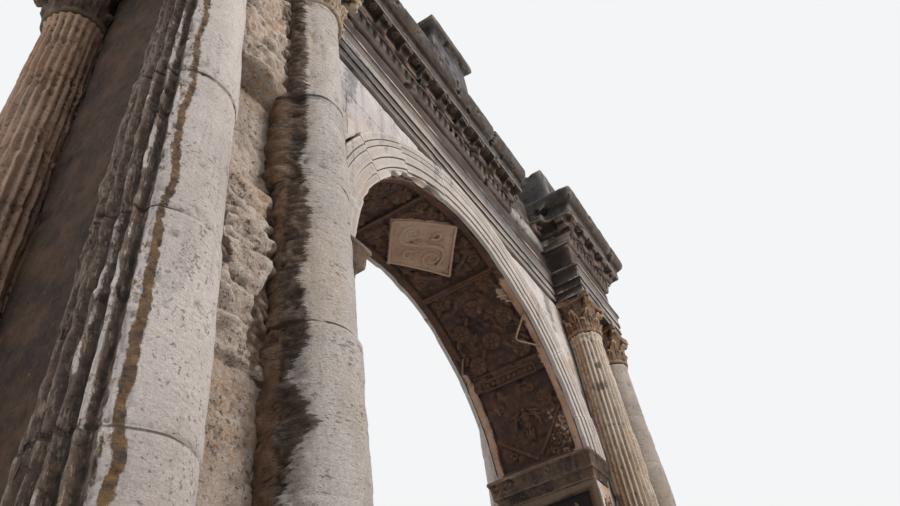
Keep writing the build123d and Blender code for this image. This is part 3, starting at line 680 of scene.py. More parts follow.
columnLooks = {
    # voxel, most triangles, seed of the wear, heights of the drum joints
    "corner_shaft_front_left": {"voxel": 0.0085, "most": 130000, "seed": 10, "flutesTo": 226,
                                "joints": (2.385, 3.385, 4.39, 5.42), "drumShift": 0.006, "lump": 0.005},
    "inner_shaft_front_left": {"voxel": 0.0115, "most": 70000, "seed": 20, "rough": 0.004,
                               "joints": (2.46, 3.39, 4.52, 5.36), "drumShift": 0.010, "lump": 0.010},
    "corner_shaft_back_left": {"voxel": 0.016, "most": 30000, "seed": 30,
                               "joints": (2.9, 3.9, 5.0, 5.9), **plainWear},
    "inner_shaft_back_left": {"voxel": 0.02, "most": 14000, "seed": 40, "joints": (3.1, 4.2, 5.3),
                              "dark": (20, 160, 0.6), **plainWear},
    "inner_shaft_front_right": {"voxel": 0.014, "most": 32000, "seed": 50, "joints": (3.0, 4.1, 5.25),
                                "dark": (100, 140, 0.6), "run": (146, 176, 0.62), "deepen": 0.012,
                                **plainWear},
    "corner_shaft_front_right": {"voxel": 0.018, "most": 16000, "seed": 60, "dark": (120, 180, 0.7),
                                 "joints": (2.8, 3.9, 5.1, 5.8), "drumShift": 0.006, "lump": 0.006},
    "inner_shaft_back_right": {"voxel": 0.02, "most": 14000, "seed": 70, "joints": (3.2, 4.4, 5.5),
                               "dark": (200, 320, 0.6), **plainWear},
    "corner_shaft_back_right": {"voxel": 0.02, "most": 14000, "seed": 80, "joints": (2.8, 4.0, 5.2),
                                "dark": (270, 360, 0.8), **plainWear},
}


def aroundColumn(spots, name):
    # degrees round a column's axis, from 0 to 360, and unit directions away from it
    x = cornerLine if "corner" in name else innerLine
    out = spots[:, :2] - (x if "right" in name else -x, columnLine if "back" in name else -columnLine)
    turn = np.degrees(np.arctan2(out[:, 1], out[:, 0])) % 360
    length = np.linalg.norm(out, axis=1)[:, None]
    return turn, np.column_stack((out / np.maximum(length, 0.001), np.zeros(len(out))))


def grooved(spots, turn, first=-10, last=370):
    # 1 in the middle of a flute, 0 on the ridges and outside the fluted part
    inside = band(turn, first - 4, first, last, last + 4) * step(spots[:, 2], 2.07, 2.12)
    return (0.5 + 0.5 * np.cos(np.radians((turn - 7.5) * 24))) * inside, inside


def addShaft(name, paint, reshape, marks):
    # reshape gives how far each point moves away from the axis, marks the stains and painted shade
    look = columnLooks[name]
    seed = look["seed"]
    mesh = evenSkin(copyOf(name), look["voxel"])
    spots, normal, move = wear(mesh, look)
    turn, away = aroundColumn(spots, name)
    drum = np.zeros(len(spots))
    push = np.random.default_rng(seed)
    for joint in look["joints"]:
        gap = np.abs(spots[:, 2] - joint - 0.004 * cloud(spots, 0.2, seed + 7, 2))
        move -= 0.010 * (1 - step(gap, 0.003, 0.015)) * (0.6 + 0.6 * cloud(spots, 0.3, seed + 8, 2))
        side = math.radians(push.uniform(0, 360))
        lean = np.array((math.cos(side), math.sin(side), 0)) * look["drumShift"]
        drum = np.where(spots[:, 2] > joint, (away * lean).sum(1), drum)
    spots = spots + normal * move[:, None] + away * drum[:, None]
    setPoints(mesh, spots + away * reshape(spots, turn)[:, None])
    mesh = thinned(mesh, look["most"])
    spots = points(mesh)
    mark(mesh, marks(spots, aroundColumn(spots, name)[0]))
    finished("worn_" + name, mesh, paint, [name])


def frontLeftCorner(name="corner_shaft_front_left"):
    # smooth, pale front; rust-brown run beside it; torn flutes on the end, black from crust and painted shade
    tall = (1, 1, 3)
    flutesTo = columnLooks[name]["flutesTo"]

    def torn(spots, turn):
        groove, inside = grooved(spots, turn, 50, flutesTo)
        ridge = inside * (1 - groove)
        lost = step(cloud(spots, 0.11, 97, 4, tall), 0.05, 0.6) * ridge ** 2
        ragged = (0.6 * cloud(spots, 0.08, 98, 3, tall) + 1.5 * cloud(spots, 0.032, 89, 2, tall)) * inside
        pits = band(turn, 226, 228, 238, 241) * step(cloud(spots, 0.05, 99, 2), 0.25, 0.7)
        return 0.004 - 0.020 * groove ** 1.2 - 0.013 * lost + 0.005 * ragged - 0.008 * pits

    def stainsAndShade(spots, turn):
        side = turn + 3.0 * cloud(spots, 0.22, 91, 4)
        # the end flank is dark: crust with painted shade
        stain = 1 - step(side, 219, 232)
        groove, inside = grooved(spots, turn, 50, flutesTo)
        flecks = step(cloud(spots, 0.04, 94, 3, (1, 1, 5)), -0.2, 0.4) * (1 - groove) ** 1.2
        # flutes are darkened as painted shade
        stain = stain * (1 - 0.72 * (flecks * step(turn, 172, 205))) + 0.25 * groove * inside
        # the side turned towards the wall is painted dark as shade
        stain = np.maximum(stain, step(side, 318, 332))
        patchy = step(cloud(spots, 0.3, 96, 3, tall), -0.2, 0.4)
        edge = 0.62 * (1 - step(np.abs(side - 231.0), 0.5, 2.0)) * patchy
        run = band(side, 228, 235.5, 236, 245)
        strength = (0.90 + 0.10 * (1 - step(spots[:, 2], 2.8, 4.4))
                    + 0.15 * cloud(spots, 0.25, 92, 4, (1, 1, 2)))
        # brown specks all over the pitted strip beside the run
        strip = 0.40 * step(side, 219, 226) * (1 - step(side, 234, 238))
        return {"stain": np.maximum(stain, edge), "rust": np.maximum(run * strength, strip)}

    addShaft(name, cornerStone, torn, stainsAndShade)


def frontLeftInner(name="inner_shaft_front_left"):
    # a swollen, grooved drum face with a near-black flank
    def hacked(spots, turn):
        height = spots[:, 2]
        flank = 1 - step(turn, 198, 226)
        top = step(height, 5.36, 5.44)
        ledge = (0.026 * (1 - step(height, 3.36, 3.42)) * step(turn, 196, 226)
                 * (1 - 0.6 * step(turn, 300, 330)))
        ragged = (0.022 * cloud(spots, 0.15, 24, 4, (1, 1, 0.6)) + 0.007 * cloud(spots, 0.04, 23, 2)) * flank
        beds = cloud(spots, 0.10, 25, 3, (2.4, 2.4, 0.22)) * (0.002 + 0.006 * flank)
        # the corner between shaft and wall was never cut free
        fill = 0.075 * (1 - step(turn, 165, 200)) * (1 - top) * step(height, 4.45, 4.6) * step(turn, 90, 120)
        return ledge + ragged + beds + fill + 0.035 * flank * top

    def stainsAndShade(spots, turn):
        height = spots[:, 2]
        # the edge of the black, in degrees round the shaft at each height
        edge = np.interp(height,
                         (2.0, 2.44, 2.60, 2.68, 2.78, 2.95, 3.08, 3.16, 3.24, 3.72, 3.9, 4.28, 4.6, 5.2, 7.0),
                         (190, 194, 199, 204, 226, 208, 190, 205, 214, 212, 213, 214, 208, 208, 207))
        side = turn + 5 * cloud(spots, 0.16, 95, 4, (2.2, 2.2, 0.3)) + 6 * cloud(spots, 0.5, 93, 2)
        stain = 1.05 - 1.05 * step(side, edge - 12, edge + 18)
        patch = cloud(spots, 0.24, 90, 4, (1.4, 1.4, 0.8))
        brown = (1 - step(turn + 10 * patch, 182, 202)) * (0.72 + 0.4 * patch)
        cream = np.interp(height, (2.0, 3.2, 4.4, 5.0, 7.0), (0.15, 0.35, 0.25, 0.6, 0.7))
        rust = (1 - step(side, edge + 6, edge + 34)) * cream
        return {"stain": stain, "rust": rust * (1 - stain), "moss": brown}

    addShaft(name, innerStone, hacked, stainsAndShade)


def backLeftCorner(name="corner_shaft_back_left"):
    # brown all over, its ridges nibbled and its flutes painted black as shade
    def torn(spots, turn):
        groove, inside = grooved(spots, turn)
        lost = step(cloud(spots, 0.22, 101, 4, (1, 1, 2)), 0.1, 0.7) * (1 - groove) ** 2 * inside
        return -0.014 * groove ** 1.5 - 0.016 * lost

    def stainsAndShade(spots, turn):
        groove, inside = grooved(spots, turn)
        # flutes darkened as painted shade
        return {"stain": 0.5 * groove * inside + 0.35 * cloud(spots, 0.4, 102, 4, (1, 1, 2))}

    addShaft(name, shelteredStone, torn, stainsAndShade)


def plainShaft(name, paint):
    # dark on one side, some with a rust run: each from one turn to another in degrees, and how strong
    look = columnLooks[name]
    seed = look["seed"]
    deepen = look.get("deepen", 0.0)

    def cut(spots, turn):
        return -(deepen * grooved(spots, turn)[0] ** 1.5)

    def stainsAndShade(spots, turn):
        marks = {}
        if "run" in look:
            first, last, strength = look["run"]
            cover = band(turn + 6 * cloud(spots, 0.3, seed + 6, 3), first - 6, first + 6, last - 6, last + 6)
            marks["rust"] = cover * strength * (0.8 + 0.3 * cloud(spots, 0.3, seed + 7, 3, (1, 1, 3)))
        first, last, strength = look["dark"]
        cover = band(turn + 6 * cloud(spots, 0.3, seed + 5, 3), first - 8, first + 8, last - 8, last + 8)
        patch = step(cloud(spots, 0.22, seed + 9, 5, (1, 1, 2.5)), -0.1, 0.5)
        groove = grooved(spots, turn)[0]
        # flutes cut deeper are darkened as painted shade
        marks["stain"] = cover * (strength - 0.5 + 0.6 * patch) + groove * 0.45 * min(deepen * 100, 1)
        return marks

    addShaft(name, paint, cut, stainsAndShade)


def addHackedWall(name, voxel, most, seed):
    # the wall between two columns, hacked back in courses and never smoothed
    sideX = 1 if "right" in name else -1
    sideY = 1 if "back" in name else -1

    def lumps(spots):
        return np.abs(cloud(spots * (1, 0, 1), 0.22, seed + 1, 4, (1, 1, 0.8)))

    bm = bmesh.new()
    bmesh.ops.create_cube(bm, size=1)
    bmesh.ops.scale(bm, vec=(0.60, 0.20, 5.16), verts=bm.verts)
    bmesh.ops.translate(bm, vec=(sideX * pairMiddle, sideY * 0.58, 4.615), verts=bm.verts)
    mesh = evenSkin(meshOf(bm, name), voxel)
    spots = points(mesh)
    height = spots[:, 2] + 0.06 * cloud(spots, 0.5, seed, 2)
    across = (spots[:, 0] - sideX * pairMiddle) * -sideX     # towards the inner column
    front = step(spots[:, 1] * sideY, 0.60, 0.67)
    courses = np.interp(height, (2.0, 3.06, 3.09, 3.28, 3.33, 3.5, 4.0, 4.38, 4.46, 5.34, 5.40, 5.7, 6.6, 7.2),
                        (0.02, 0.02, 0.07, 0.08, 0.06, 0.13, 0.12, 0.05, -0.03, -0.035, 0.15, 0.19, 0.16, 0.12))
    bulge = 1 - 0.5 * (across / 0.3) ** 2
    rough = step(courses, 0.04, 0.10)
    out = courses * bulge + (0.010 + 0.050 * rough) * (1.2 * lumps(spots) - 0.45)
    holes = (step(cloud(spots, 0.036, seed + 2, 2), 0.25, 0.7)
             * step(cloud(spots, 0.3, seed + 3, 2), -0.3, 0.4))
    out += 0.010 * cloud(spots, 0.07, seed + 4, 3) - 0.010 * holes * (1 - 0.7 * rough)
    # a channel left open beside the corner column
    out -= 0.06 * ((1 - step(np.abs(across + 0.20), 0.02, 0.05)) * (1 - rough))
    spots[:, 1] += sideY * out * front
    setPoints(mesh, spots)
    mesh = thinned(mesh, most)
    spots = points(mesh)
    across = (spots[:, 0] - sideX * pairMiddle) * -sideX
    height = spots[:, 2]
    # how far the painted shade reaches in from the corner column, and from the inner one
    dark = np.interp(height, (2.0, 3.0, 3.3, 3.6, 4.4, 4.5, 5.3, 5.45, 7.2),
                     (0.10, 0.12, 0.14, 0.12, 0.10, 0.16, 0.19, 0.02, 0.02))
    stain = 1 - step(across + 0.07 * cloud(spots, 0.2, seed + 5, 4), -0.24 + dark - 0.06, -0.24 + dark + 0.06)
    reach = np.interp(height, (2.0, 3.0, 3.3, 4.4, 4.5, 5.3, 5.45, 7.2),
                      (0.03, 0.05, 0.11, 0.13, 0.03, 0.03, 0.07, 0.11))
    side = across + 0.09 * cloud(spots, 0.2, seed + 7, 4)
    stain = np.maximum(stain, step(side, 0.22 - reach, 0.32 - reach))
    # undersides of ledges and creases between the lumps are darkened as painted shade, the creases also warmed
    # through the rust tint as painted shade
    under = step(-points(mesh, "normal")[:, 2], 0.15, 0.7)
    crease = 1 - step(lumps(spots), 0.03, 0.35)
    rough = step(np.abs(spots[:, 1]), 0.70, 0.76) * (1 - 0.5 * step(height, 5.3, 5.6))
    mark(mesh, {"stain": np.maximum(stain, np.maximum(0.45 * under, 0.50 * crease * rough)),
                "rust": 0.48 * step(cloud(spots, 0.4, seed + 6, 4), -0.1, 0.6) + 0.25 * crease * rough})
    finished(name, mesh, hackedStone)


frontLeftCorner()
frontLeftInner()
addHackedWall("hacked_wall_front_left", 0.012, 40000, 200)
backLeftCorner()
plainShaft("inner_shaft_back_left", columnStone)
plainShaft("inner_shaft_front_right", farColumnStone)
plainShaft("corner_shaft_front_right", outerStone)
plainShaft("inner_shaft_back_right", columnStone)
plainShaft("corner_shaft_back_right", columnStone)
addHackedWall("hacked_wall_front_right", 0.02, 12000, 230)
addHackedWall("hacked_wall_back_left", 0.026, 8000, 260)
addHackedWall("hacked_wall_back_right", 0.026, 8000, 290)
print("columns worn and stained")


# walls, bands, vault and foot

archCentre = 4.556


def aroundVault(spots):
    # distance from the axis of the vault, and turn in radians from the right springing
    rise = spots[:, 2] - archCentre
    return np.hypot(spots[:, 0], rise), np.arctan2(rise, spots[:, 0])


def brokenStretch(spots):
    # 1 on the front, right of the middle, where the cornice has fallen
    return band(spots[:, 0], 1.50, 1.60, 2.60, 2.66) * (spots[:, 1] < 0)


def shortenDentils(spots):
    # most of each dentil's reach has weathered away, and all of it under the fallen stretch
    x, y, z = spots.T
    face = np.where(np.abs(x) > 2.659, 1.06, 0.64) + 0.046
    over = np.clip(np.abs(y) - face, 0, None)
    lower = 1 - step(z, 8.27, 8.31)
    lost = np.maximum((0.60 + 0.36 * lower) * (1 - step(z, 8.375, 8.395)), brokenStretch(spots))
    spots[:, 1] -= np.sign(y) * over * lost


def veined(spots):
    # ribs that run up the bell of a capital and split its leaves into lobes
    x, y, z = spots.T
    out = spots[:, :2] - np.column_stack((
        np.sign(x) * np.where(np.abs(x) > pairMiddle, cornerLine, innerLine), np.sign(y) * columnLine))
    turn = np.arctan2(out[:, 1], out[:, 0])
    reach = np.linalg.norm(out, axis=1)
    bell = band(z, 6.70, 6.74, 7.13, 7.16) * step(reach, 0.23, 0.26)
    groove = 0.008 * (0.5 + 0.5 * np.cos(turn * 40 + 0.6 * cloud(spots, 0.10, 811, 2)))
    frayed = 0.010 * np.abs(cloud(spots, 0.05, 812, 2, (1, 1, 1.6)))
    spots[:, :2] -= out / np.maximum(reach, 0.05)[:, None] * ((groove + frayed) * bell)[:, None]


def carveGround(spots):
    # shallow leafwork fills the sunk panels of the vault
    radius, turn = aroundVault(spots)
    inside = band(radius, 2.275, 2.288, 2.31, 2.33) * (1 - step(np.abs(spots[:, 1]), 0.45, 0.47))
    flat = np.column_stack((turn * 2.295, spots[:, 1], np.zeros(len(turn))))
    bent = flat.copy()
    bent[:, 0] += 0.05 * cloud(flat, 0.22, 801, 2)
    bent[:, 1] += 0.05 * cloud(flat, 0.22, 802, 2)
    leaves = np.abs(cloud(bent, 0.17, 803, 2)) + 0.4 * np.abs(cloud(bent, 0.08, 805, 1))
    lift = 0.024 * step(leaves, 0.10, 0.95) - 0.008 + 0.008 * cloud(flat, 0.05, 804, 2)
    low = band(turn, *map(math.radians, (4, 7, 173, 176)))
    move = (lift * inside * low / np.maximum(radius, 0.1))[:, None]
    spots[:, (0, 2)] -= (spots - (0, 0, archCentre))[:, (0, 2)] * move


def wallMarks(spots, normal, seed):
    # ends and jambs are darker, crust and painted shade together; grey runs on the face from under the
    # architrave
    x = np.abs(spots[:, 0])
    z = spots[:, 2]
    inward = 1 - step(x, 2.5, 2.7)
    jamb = step(np.abs(normal[:, 0]), 0.5, 0.9) * (1 - step(x, 2.4, 2.6))
    low = 0.35 * cloud(spots, 0.5, seed, 4, (1, 1, 2))
    runs = cloud(spots, 0.16, seed + 1, 4, (1, 1, 6))
    outer = step(x, 1.55, 2.1) * step(z, 5.6, 6.6)
    grey = step(runs + 0.5 * outer, 0.35, 0.9) * (0.45 + 0.5 * outer) * inward
    corner = step(x, 1.75, 1.95) * step(z, 6.1, 6.6) * inward
    grey = np.maximum(grey, 0.85 * corner * step(runs, -0.6, 0.2))
    right = band(spots[:, 0], 2.42, 2.52, 2.66, 2.74) * (1 - step(z, 6.2, 6.8))
    bleed = right * (0.75 + 0.3 * cloud(spots, 0.3, seed + 2, 3, (1, 1, 3)))
    # the end of the wall, the jambs and the wall behind the pair: painted shade over crust
    dark = np.maximum(np.maximum(step(x, 3.70, 3.80), jamb * 0.8), step(x, 3.14, 3.26) * 0.5)
    return {"stain": dark + low * 0.6, "rust": grey, "moss": bleed}


def bandMarks(spots, normal, seed):
    # the returns of the pairs and their undersides are darkened as painted shade, as dark as the cornice; the
    # back is darker as well
    turned = np.maximum(np.abs(normal[:, 0]), -normal[:, 2])
    aside = step(turned, 0.6, 0.9) * step(np.abs(spots[:, 0]), 2.4, 2.6)
    back = step(spots[:, 1], 0.3, 0.6)
    streak = cloud(spots, 0.22, seed, 4, (1, 1, 1.6))
    dark = np.maximum(aside, 0.55 * back + 0.4 * streak * back)
    grey = step(cloud(spots, 0.35, seed + 1, 4, (1.6, 1, 0.7)), 0.0, 0.6) * 0.75
    return {"stain": dark + 0.15 * streak, "rust": grey * (1 - dark)}


def vaultMarks(spots, normal, seed):
    # black in the panels, browner on the ribs, paler where the front edge has broken back
    turn = np.degrees(aroundVault(spots)[1])
    x, y, _ = spots.T
    side = np.abs(y) + 0.02 * cloud(spots, 0.2, seed, 3)
    edgeAt = np.where(y < 0, 66, 42)
    spall = 0.11 * (1 - step(np.abs(turn - 60.5), 2, 5)) * (y < 0)
    pale = step(side + spall, 0.475, 0.50) * (1 - step(turn, edgeAt - 3, edgeAt + 3))
    stain = 0.98 - 0.92 * pale
    lozenge = np.abs(x) / 0.66 + np.abs(y) / 0.51
    stain -= 0.78 * (1 - step(lozenge, 0.95, 1.0)) * step(turn, 60, 62)
    # a cleaner corner low on the right
    stain -= 0.35 * ((1 - step(turn, 20, 23)) * (1 - step(y, -0.2, -0.1)) * step(turn, 0, 12))
    stain += 0.20 * cloud(spots, 0.30, seed + 3, 4) + 0.08 * cloud(spots, 0.08, seed + 4, 2)
    return {"stain": stain}


def corniceMarks(spots, normal, seed):
    # moss on top, painted shade below, pink-brown in the bays between the brackets
    x, _, z = spots.T
    lumps = cloud(spots, 0.22, seed, 4)
    moss = step(normal[:, 2], 0.25, 0.8) * (0.40 + 0.5 * lumps) + step(z, 8.60, 8.90) * (0.05 + 0.45 * lumps)
    # undersides and everything below the soffit are darkened as painted shade
    under = step(-normal[:, 2], 0.1, 0.7) + (1 - step(z, 8.50, 8.56))
    bed = (1 - step(z, 8.50, 8.53)) * step(z, 8.36, 8.40)
    bay = np.abs(np.abs(x / 0.4346) % 1 - 0.5)
    pink = bed * (1 - step(bay, 0.20, 0.30)) * (1 - step(-normal[:, 2], 0.3, 0.8))
    return {"stain": under * (0.75 + 0.3 * lumps) * (1 - 0.5 * pink), "moss": moss, "rust": pink * 0.85}


def atticMarks(spots, normal, seed):
    # caps black, painted shade under them, sides grey, tops green
    lumps = cloud(spots, 0.25, seed, 4)
    # downward faces are darkened as painted shade
    dark = np.maximum(step(spots[:, 2], 9.96, 10.04), step(-normal[:, 2], 0.3, 0.8))
    return {"stain": dark * 0.85 + 0.25 * lumps, "moss": step(normal[:, 2], 0.5, 0.9) * (0.5 + 0.4 * lumps)}


def dentilMarks(spots, normal, seed):
    # black all round but where the cornice has fallen
    pale = brokenStretch(spots)
    lumps = cloud(spots, 0.3, seed, 3)
    return {"stain": 1.0 + 0.3 * lumps - pale, "rust": 0.8 * pale + 0.2 * lumps * pale}


def footMarks(spots, normal, seed):
    # splashed near the ground, and green where water stands on the ledges
    low = 0.8 * (1 - step(spots[:, 2], 0.05, 0.5))
    up = step(normal[:, 2], 0.5, 0.9) * 0.4
    return {"stain": low * 0.7 + 0.35 * cloud(spots, 0.4, seed, 4) + up}


carved = {"lump": 0.001, "reshape": veined}
wornLooks = (
    # stone, slot, stains with painted shade, and wear, then for each node voxel (or None), most triangles, seed
    # and own wear
    (wallStone, "pale_stone", wallMarks, {"lump": 0.006}, {
        "wall_left": (0.024, 30000, 300),
        "wall_right": (0.026, 20000, 310)}),
    (architraveStone, "pale_stone", bandMarks, {"slices": (0.07, 0.07, 0), "lump": 0.003, "rough": 0.002,
                                                "edgeRounds": 0, "bite": 0.006}, {
        "architrave": (None, 30000, 320)}),
    (friezeStone, "pale_stone", bandMarks, {"lump": 0.006}, {
        "frieze": (0.022, 12000, 330)}),
    (dentilStone, "cornice_stone", dentilMarks, {"edgeLoss": 0.8, "bite": 0.03, "reshape": shortenDentils}, {
        "dentil_course": (0.015, 36000, 340)}),
    (corniceStone, "cornice_stone", corniceMarks, {"bite": 0.03}, {
        "cornice_front": (0.012, 52000, 350),
        "cornice_right": (0.022, 28000, 360, {"edgeLoss": 0.6}),
        "cornice_left": (0.028, 16000, 370),
        "cornice_back": (0.028, 14000, 380)}),
    (atticStone, "cornice_stone", atticMarks, {"bite": 0.04}, {
        "attic_course": (0.03, 6000, 390),
        "attic_block_left": (0.03, 5000, 400),
        "attic_block_middle": (0.022, 8000, 410),
        "attic_block_right": (0.03, 5000, 420, {"bite": 0.05})}),
    (impostStone, "cornice_stone", None, {}, {
        "impost_left": (0.014, 8000, 430),
        "impost_right": (0.011, 16000, 440, {"edgeLoss": 0.4})}),
    (soffitStone, "soffit_stone", vaultMarks, {"bite": 0.02, "edgeLoss": 0.3, "reshape": carveGround}, {
        "arch_ring": (0.015, 70000, 450)}),
    (capitalStone, "carved_stone", None, carved, {"capitals_front_left": (0.0105, 30000, 460)}),
    (rustCapitalStone, "carved_stone", None, carved, {"capitals_front_right": (0.0105, 30000, 470)}),
    (blackCapitalStone, "carved_stone", None, carved, {
        "capitals_back_left": (0.014, 12000, 480),
        "capitals_back_right": (0.014, 12000, 490)}),
    (footStone, "foot_stone", footMarks, {}, {
        "plinth_left": (0.035, 4000, 500),
        "plinth_right": (0.035, 4000, 510),
        "pedestal_left": (0.035, 4000, 520),
        "pedestal_right": (0.035, 4000, 530),
        "pedestal_cap_left": (0.028, 3000, 540),
        "pedestal_cap_right": (0.028, 3000, 550)}),
)


def addWorn(name, paint, marks, look, voxel, most):
    mesh = copyOf(name)
    mesh = evenSkin(mesh, voxel) if voxel else sliced(mesh, look["slices"])
    spots, normal, move = wear(mesh, look)
    spots = spots + normal * move[:, None]
    if "reshape" in look:
        look["reshape"](spots)
    setPoints(mesh, spots)
    mesh = thinned(mesh, most)
    if marks:
        mark(mesh, marks(points(mesh), points(mesh, "normal"), look["seed"]))
    finished("worn_" + name, mesh, paint, [name])


for paint, slot, marks, common, members in wornLooks:
    for name, (voxel, most, seed, *own) in members.items():
        look = {**common, "seed": seed, **(own[0] if own else {})}
        addWorn(name, paint, marks, look, voxel, most)
print("walls, bands, vault and foot worn")


# archivolts: voussoirs whose mouldings no longer quite meet

archivoltLook = {
    "joints": (5.3, 17.0, 36.5, 56.0, 77.0, 103.0, 124.0, 143.5, 162.5, 174.7),
    # radius and distance from the middle of the wall, round the moulding
    "profile": ((2.25, 0.585), (2.25, 0.632), (2.333, 0.632), (2.334, 0.622), (2.341, 0.622), (2.342, 0.648),
                (2.433, 0.648), (2.434, 0.638), (2.441, 0.638), (2.442, 0.663), (2.548, 0.663),
                (2.549, 0.652), (2.557, 0.652), (2.558, 0.667), (2.60, 0.679), (2.606, 0.668), (2.613, 0.668),
                (2.616, 0.679), (2.688, 0.679), (2.692, 0.62), (2.692, 0.585)),
    # how far each stone has slid outwards and sunk in, in metres, from the right springing
    "slides": (0.004, -0.006, 0.003, -0.008, -0.012, -0.026, 0.002, -0.010, 0.0),
    "sunk": (0.0, 0.004, 0.001, 0.003, 0.002, 0.006, 0.0, 0.005, 0.001),
    "outermost": 2.697,
    "gap": 0.06,          # degrees left open at each end of a stone
}


def addArchivolt(name, end, stepDegrees, look, seed):
    bm = bmesh.new()
    for first, last, slide, sunk in zip(look["joints"], look["joints"][1:], look["slides"], look["sunk"]):
        start = math.radians(first + look["gap"])
        ring = []
        for radius, depth in look["profile"]:
            radius = min(radius + slide * (0.3 if radius < 2.26 else 1.0), look["outermost"])
            ring.append(bm.verts.new((radius * math.cos(start), end * (depth - sunk),
                                      archCentre + radius * math.sin(start))))
        steps = max(int((last - first) / stepDegrees / (1)), 3)
        bmesh.ops.spin(bm, geom=[bm.faces.new(ring)], cent=(0, 0, archCentre), axis=(0, -1, 0),
                       angle=math.radians(last - first - 2 * look["gap"]), steps=steps)
    long = [e for e in bm.edges if e.calc_length() > 0.035]
    bmesh.ops.subdivide_edges(bm, edges=long, cuts=2, use_grid_fill=True)
    bmesh.ops.recalc_face_normals(bm, faces=bm.faces)
    mesh = meshOf(bm, name)
    spots = points(mesh)
    radius, turn = aroundVault(spots)
    away = spots - (0, 0, archCentre)
    away[:, 1] = 0
    away /= radius[:, None]
    edge = 1 - step(radius, 2.25, 2.33)
    crown = band(np.degrees(turn), 84, 100, 140, 156)
    loss = step(cloud(spots, 0.20, seed + 1, 2), -0.2, 0.6)
    spots += away * (edge * (0.004 + 0.045 * crown * loss + 0.012 * loss))[:, None]
    spots[:, 1] -= end * (0.004 * np.clip(cloud(spots, 0.3, seed + 2), 0, 1) + edge * 0.010 * loss)
    setPoints(mesh, spots)
    mark(mesh, {"rust": step(cloud(spots, 0.25, seed + 3, 4, (0.4, 1, 2.5)), 0.35, 0.95) * 0.6})
    finished("worn_" + name, mesh, bandStone, [name])


addArchivolt("archivolt_front", -1, 0.55, archivoltLook, 600)
addArchivolt("archivolt_back", 1, 2.4, archivoltLook, 610)
for name, node in nodes.items():
    if name.startswith(("column_bases", "jamb_panel")):
        node.data.materials.clear()
        node.data.materials.append(footStone if name.startswith("column") else blackCapitalStone)
print("archivolts set and plain nodes painted")


# carving: raised strokes, leaves and flowers laid on a surface

def onVault(radius):
    # metres along the arch to the right of the crown, metres towards the back, and out of the stone
    def place(along, back, lift):
        turn = along / radius
        reach = radius - lift
        return Vector((reach * math.sin(turn), back, archCentre + reach * math.cos(turn)))
    return place


def onPlane(origin, across, up, out):
    def place(u, v, lift):
        return Vector(origin) + Vector(across) * u + Vector(up) * v + Vector(out) * lift
    return place


def vaultSpot(turn, back, radius=2.295):
    # metres along the arch for a turn in degrees from the right springing
    return (math.radians(90 - turn) * radius, back)


def scroll(centre, size, turns, start, hand=1, count=14):
    # a stroke that winds inwards and thins out
    stroke = []
    for i in range(count):
        share = i / (count - 1)
        angle = math.radians(start) + hand * turns * 2 * math.pi * share
        reach = size * (1 - 0.80 * share)
        stroke.append((centre[0] + reach * math.cos(angle), centre[1] + reach * math.sin(angle),
                       1 - 0.4 * share))
    return stroke


def newRelief():
    # a carving in the making: a mesh for the leaves and a curve for the stems
    data = bpy.data.curves.new("stems", "CURVE")
    data.dimensions = "3D"
    data.bevel_depth = 1.0
    data.bevel_resolution = 1
    data.resolution_u = 2
    data.use_fill_caps = True
    return {"leaves": bmesh.new(), "stems": data}


def addStem(relief, stem):
    # a smooth round stem through places, each with its half thickness
    spline = relief["stems"].splines.new("NURBS")
    spline.points.add(len(stem) - 1)
    for point, (spot, thick) in zip(spline.points, stem):
        point.co = (*spot, 1)
        point.radius = thick
    spline.order_u = 3
    spline.use_endpoint_u = True


def addStrokes(relief, place, strokes, thick, sunk=0.25):
    # stems on a surface; a third value in a place is its share of the thickness
    for stroke in strokes:
        addStem(relief, [(place(spot[0], spot[1], -sunk * thick), thick * (spot[2] if len(spot) > 2 else 1.0))
                         for spot in stroke])


def addBlob(relief, place, centre, size, turn=0.0, segments=8):
    # a rounded lump: half lengths across, along and out, turned on the surface
    made = bmesh.ops.create_uvsphere(relief["leaves"], u_segments=segments,
                                     v_segments=max(segments // 2 + 1, 4), radius=1)
    sin, cos = math.sin(math.radians(turn)), math.cos(math.radians(turn))
    for vert in made["verts"]:
        a, b, c = vert.co.x * size[0], vert.co.y * size[1], vert.co.z * size[2]
        vert.co = place(centre[0] + a * cos - b * sin, centre[1] + a * sin + b * cos, c)


def addRosette(relief, place, centre, size, petals=6, segments=8):
    # a low dome, petals on it and a boss
    addBlob(relief, place, centre, (size * 0.98, size * 0.98, size * 0.16), 0, segments + 4)
    for i in range(petals):
        turn = 360 * i / petals + 15
        reach = size * 0.58
        spot = (centre[0] + reach * math.cos(math.radians(turn)),
                centre[1] + reach * math.sin(math.radians(turn)))
        addBlob(relief, place, spot, (size * 0.44, size * 0.27, size * 0.26), turn, segments)
    addBlob(relief, place, centre, (size * 0.27, size * 0.27, size * 0.42), 0, segments)


def addCarving(name, relief, paint, replaced=(), lump=0.002):
    bm = relief["leaves"]
    source = bpy.data.objects.new("stems", relief["stems"])
    if relief["stems"].splines:
        stems = bpy.data.meshes.new_from_object(source)
        bm.from_mesh(stems)
        bpy.data.meshes.remove(stems)
    bpy.data.objects.remove(source)
    bpy.data.curves.remove(relief["stems"])
    bmesh.ops.recalc_face_normals(bm, faces=bm.faces)
    mesh = meshOf(bm, name)
    spots = points(mesh)
    setPoints(mesh, spots + points(mesh, "normal") * (lump * cloud(spots, 0.05, 700, 2))[:, None])
    mesh.shade_smooth()
    print(name, triangles(mesh), "triangles")
    finished(name, mesh, paint, replaced)


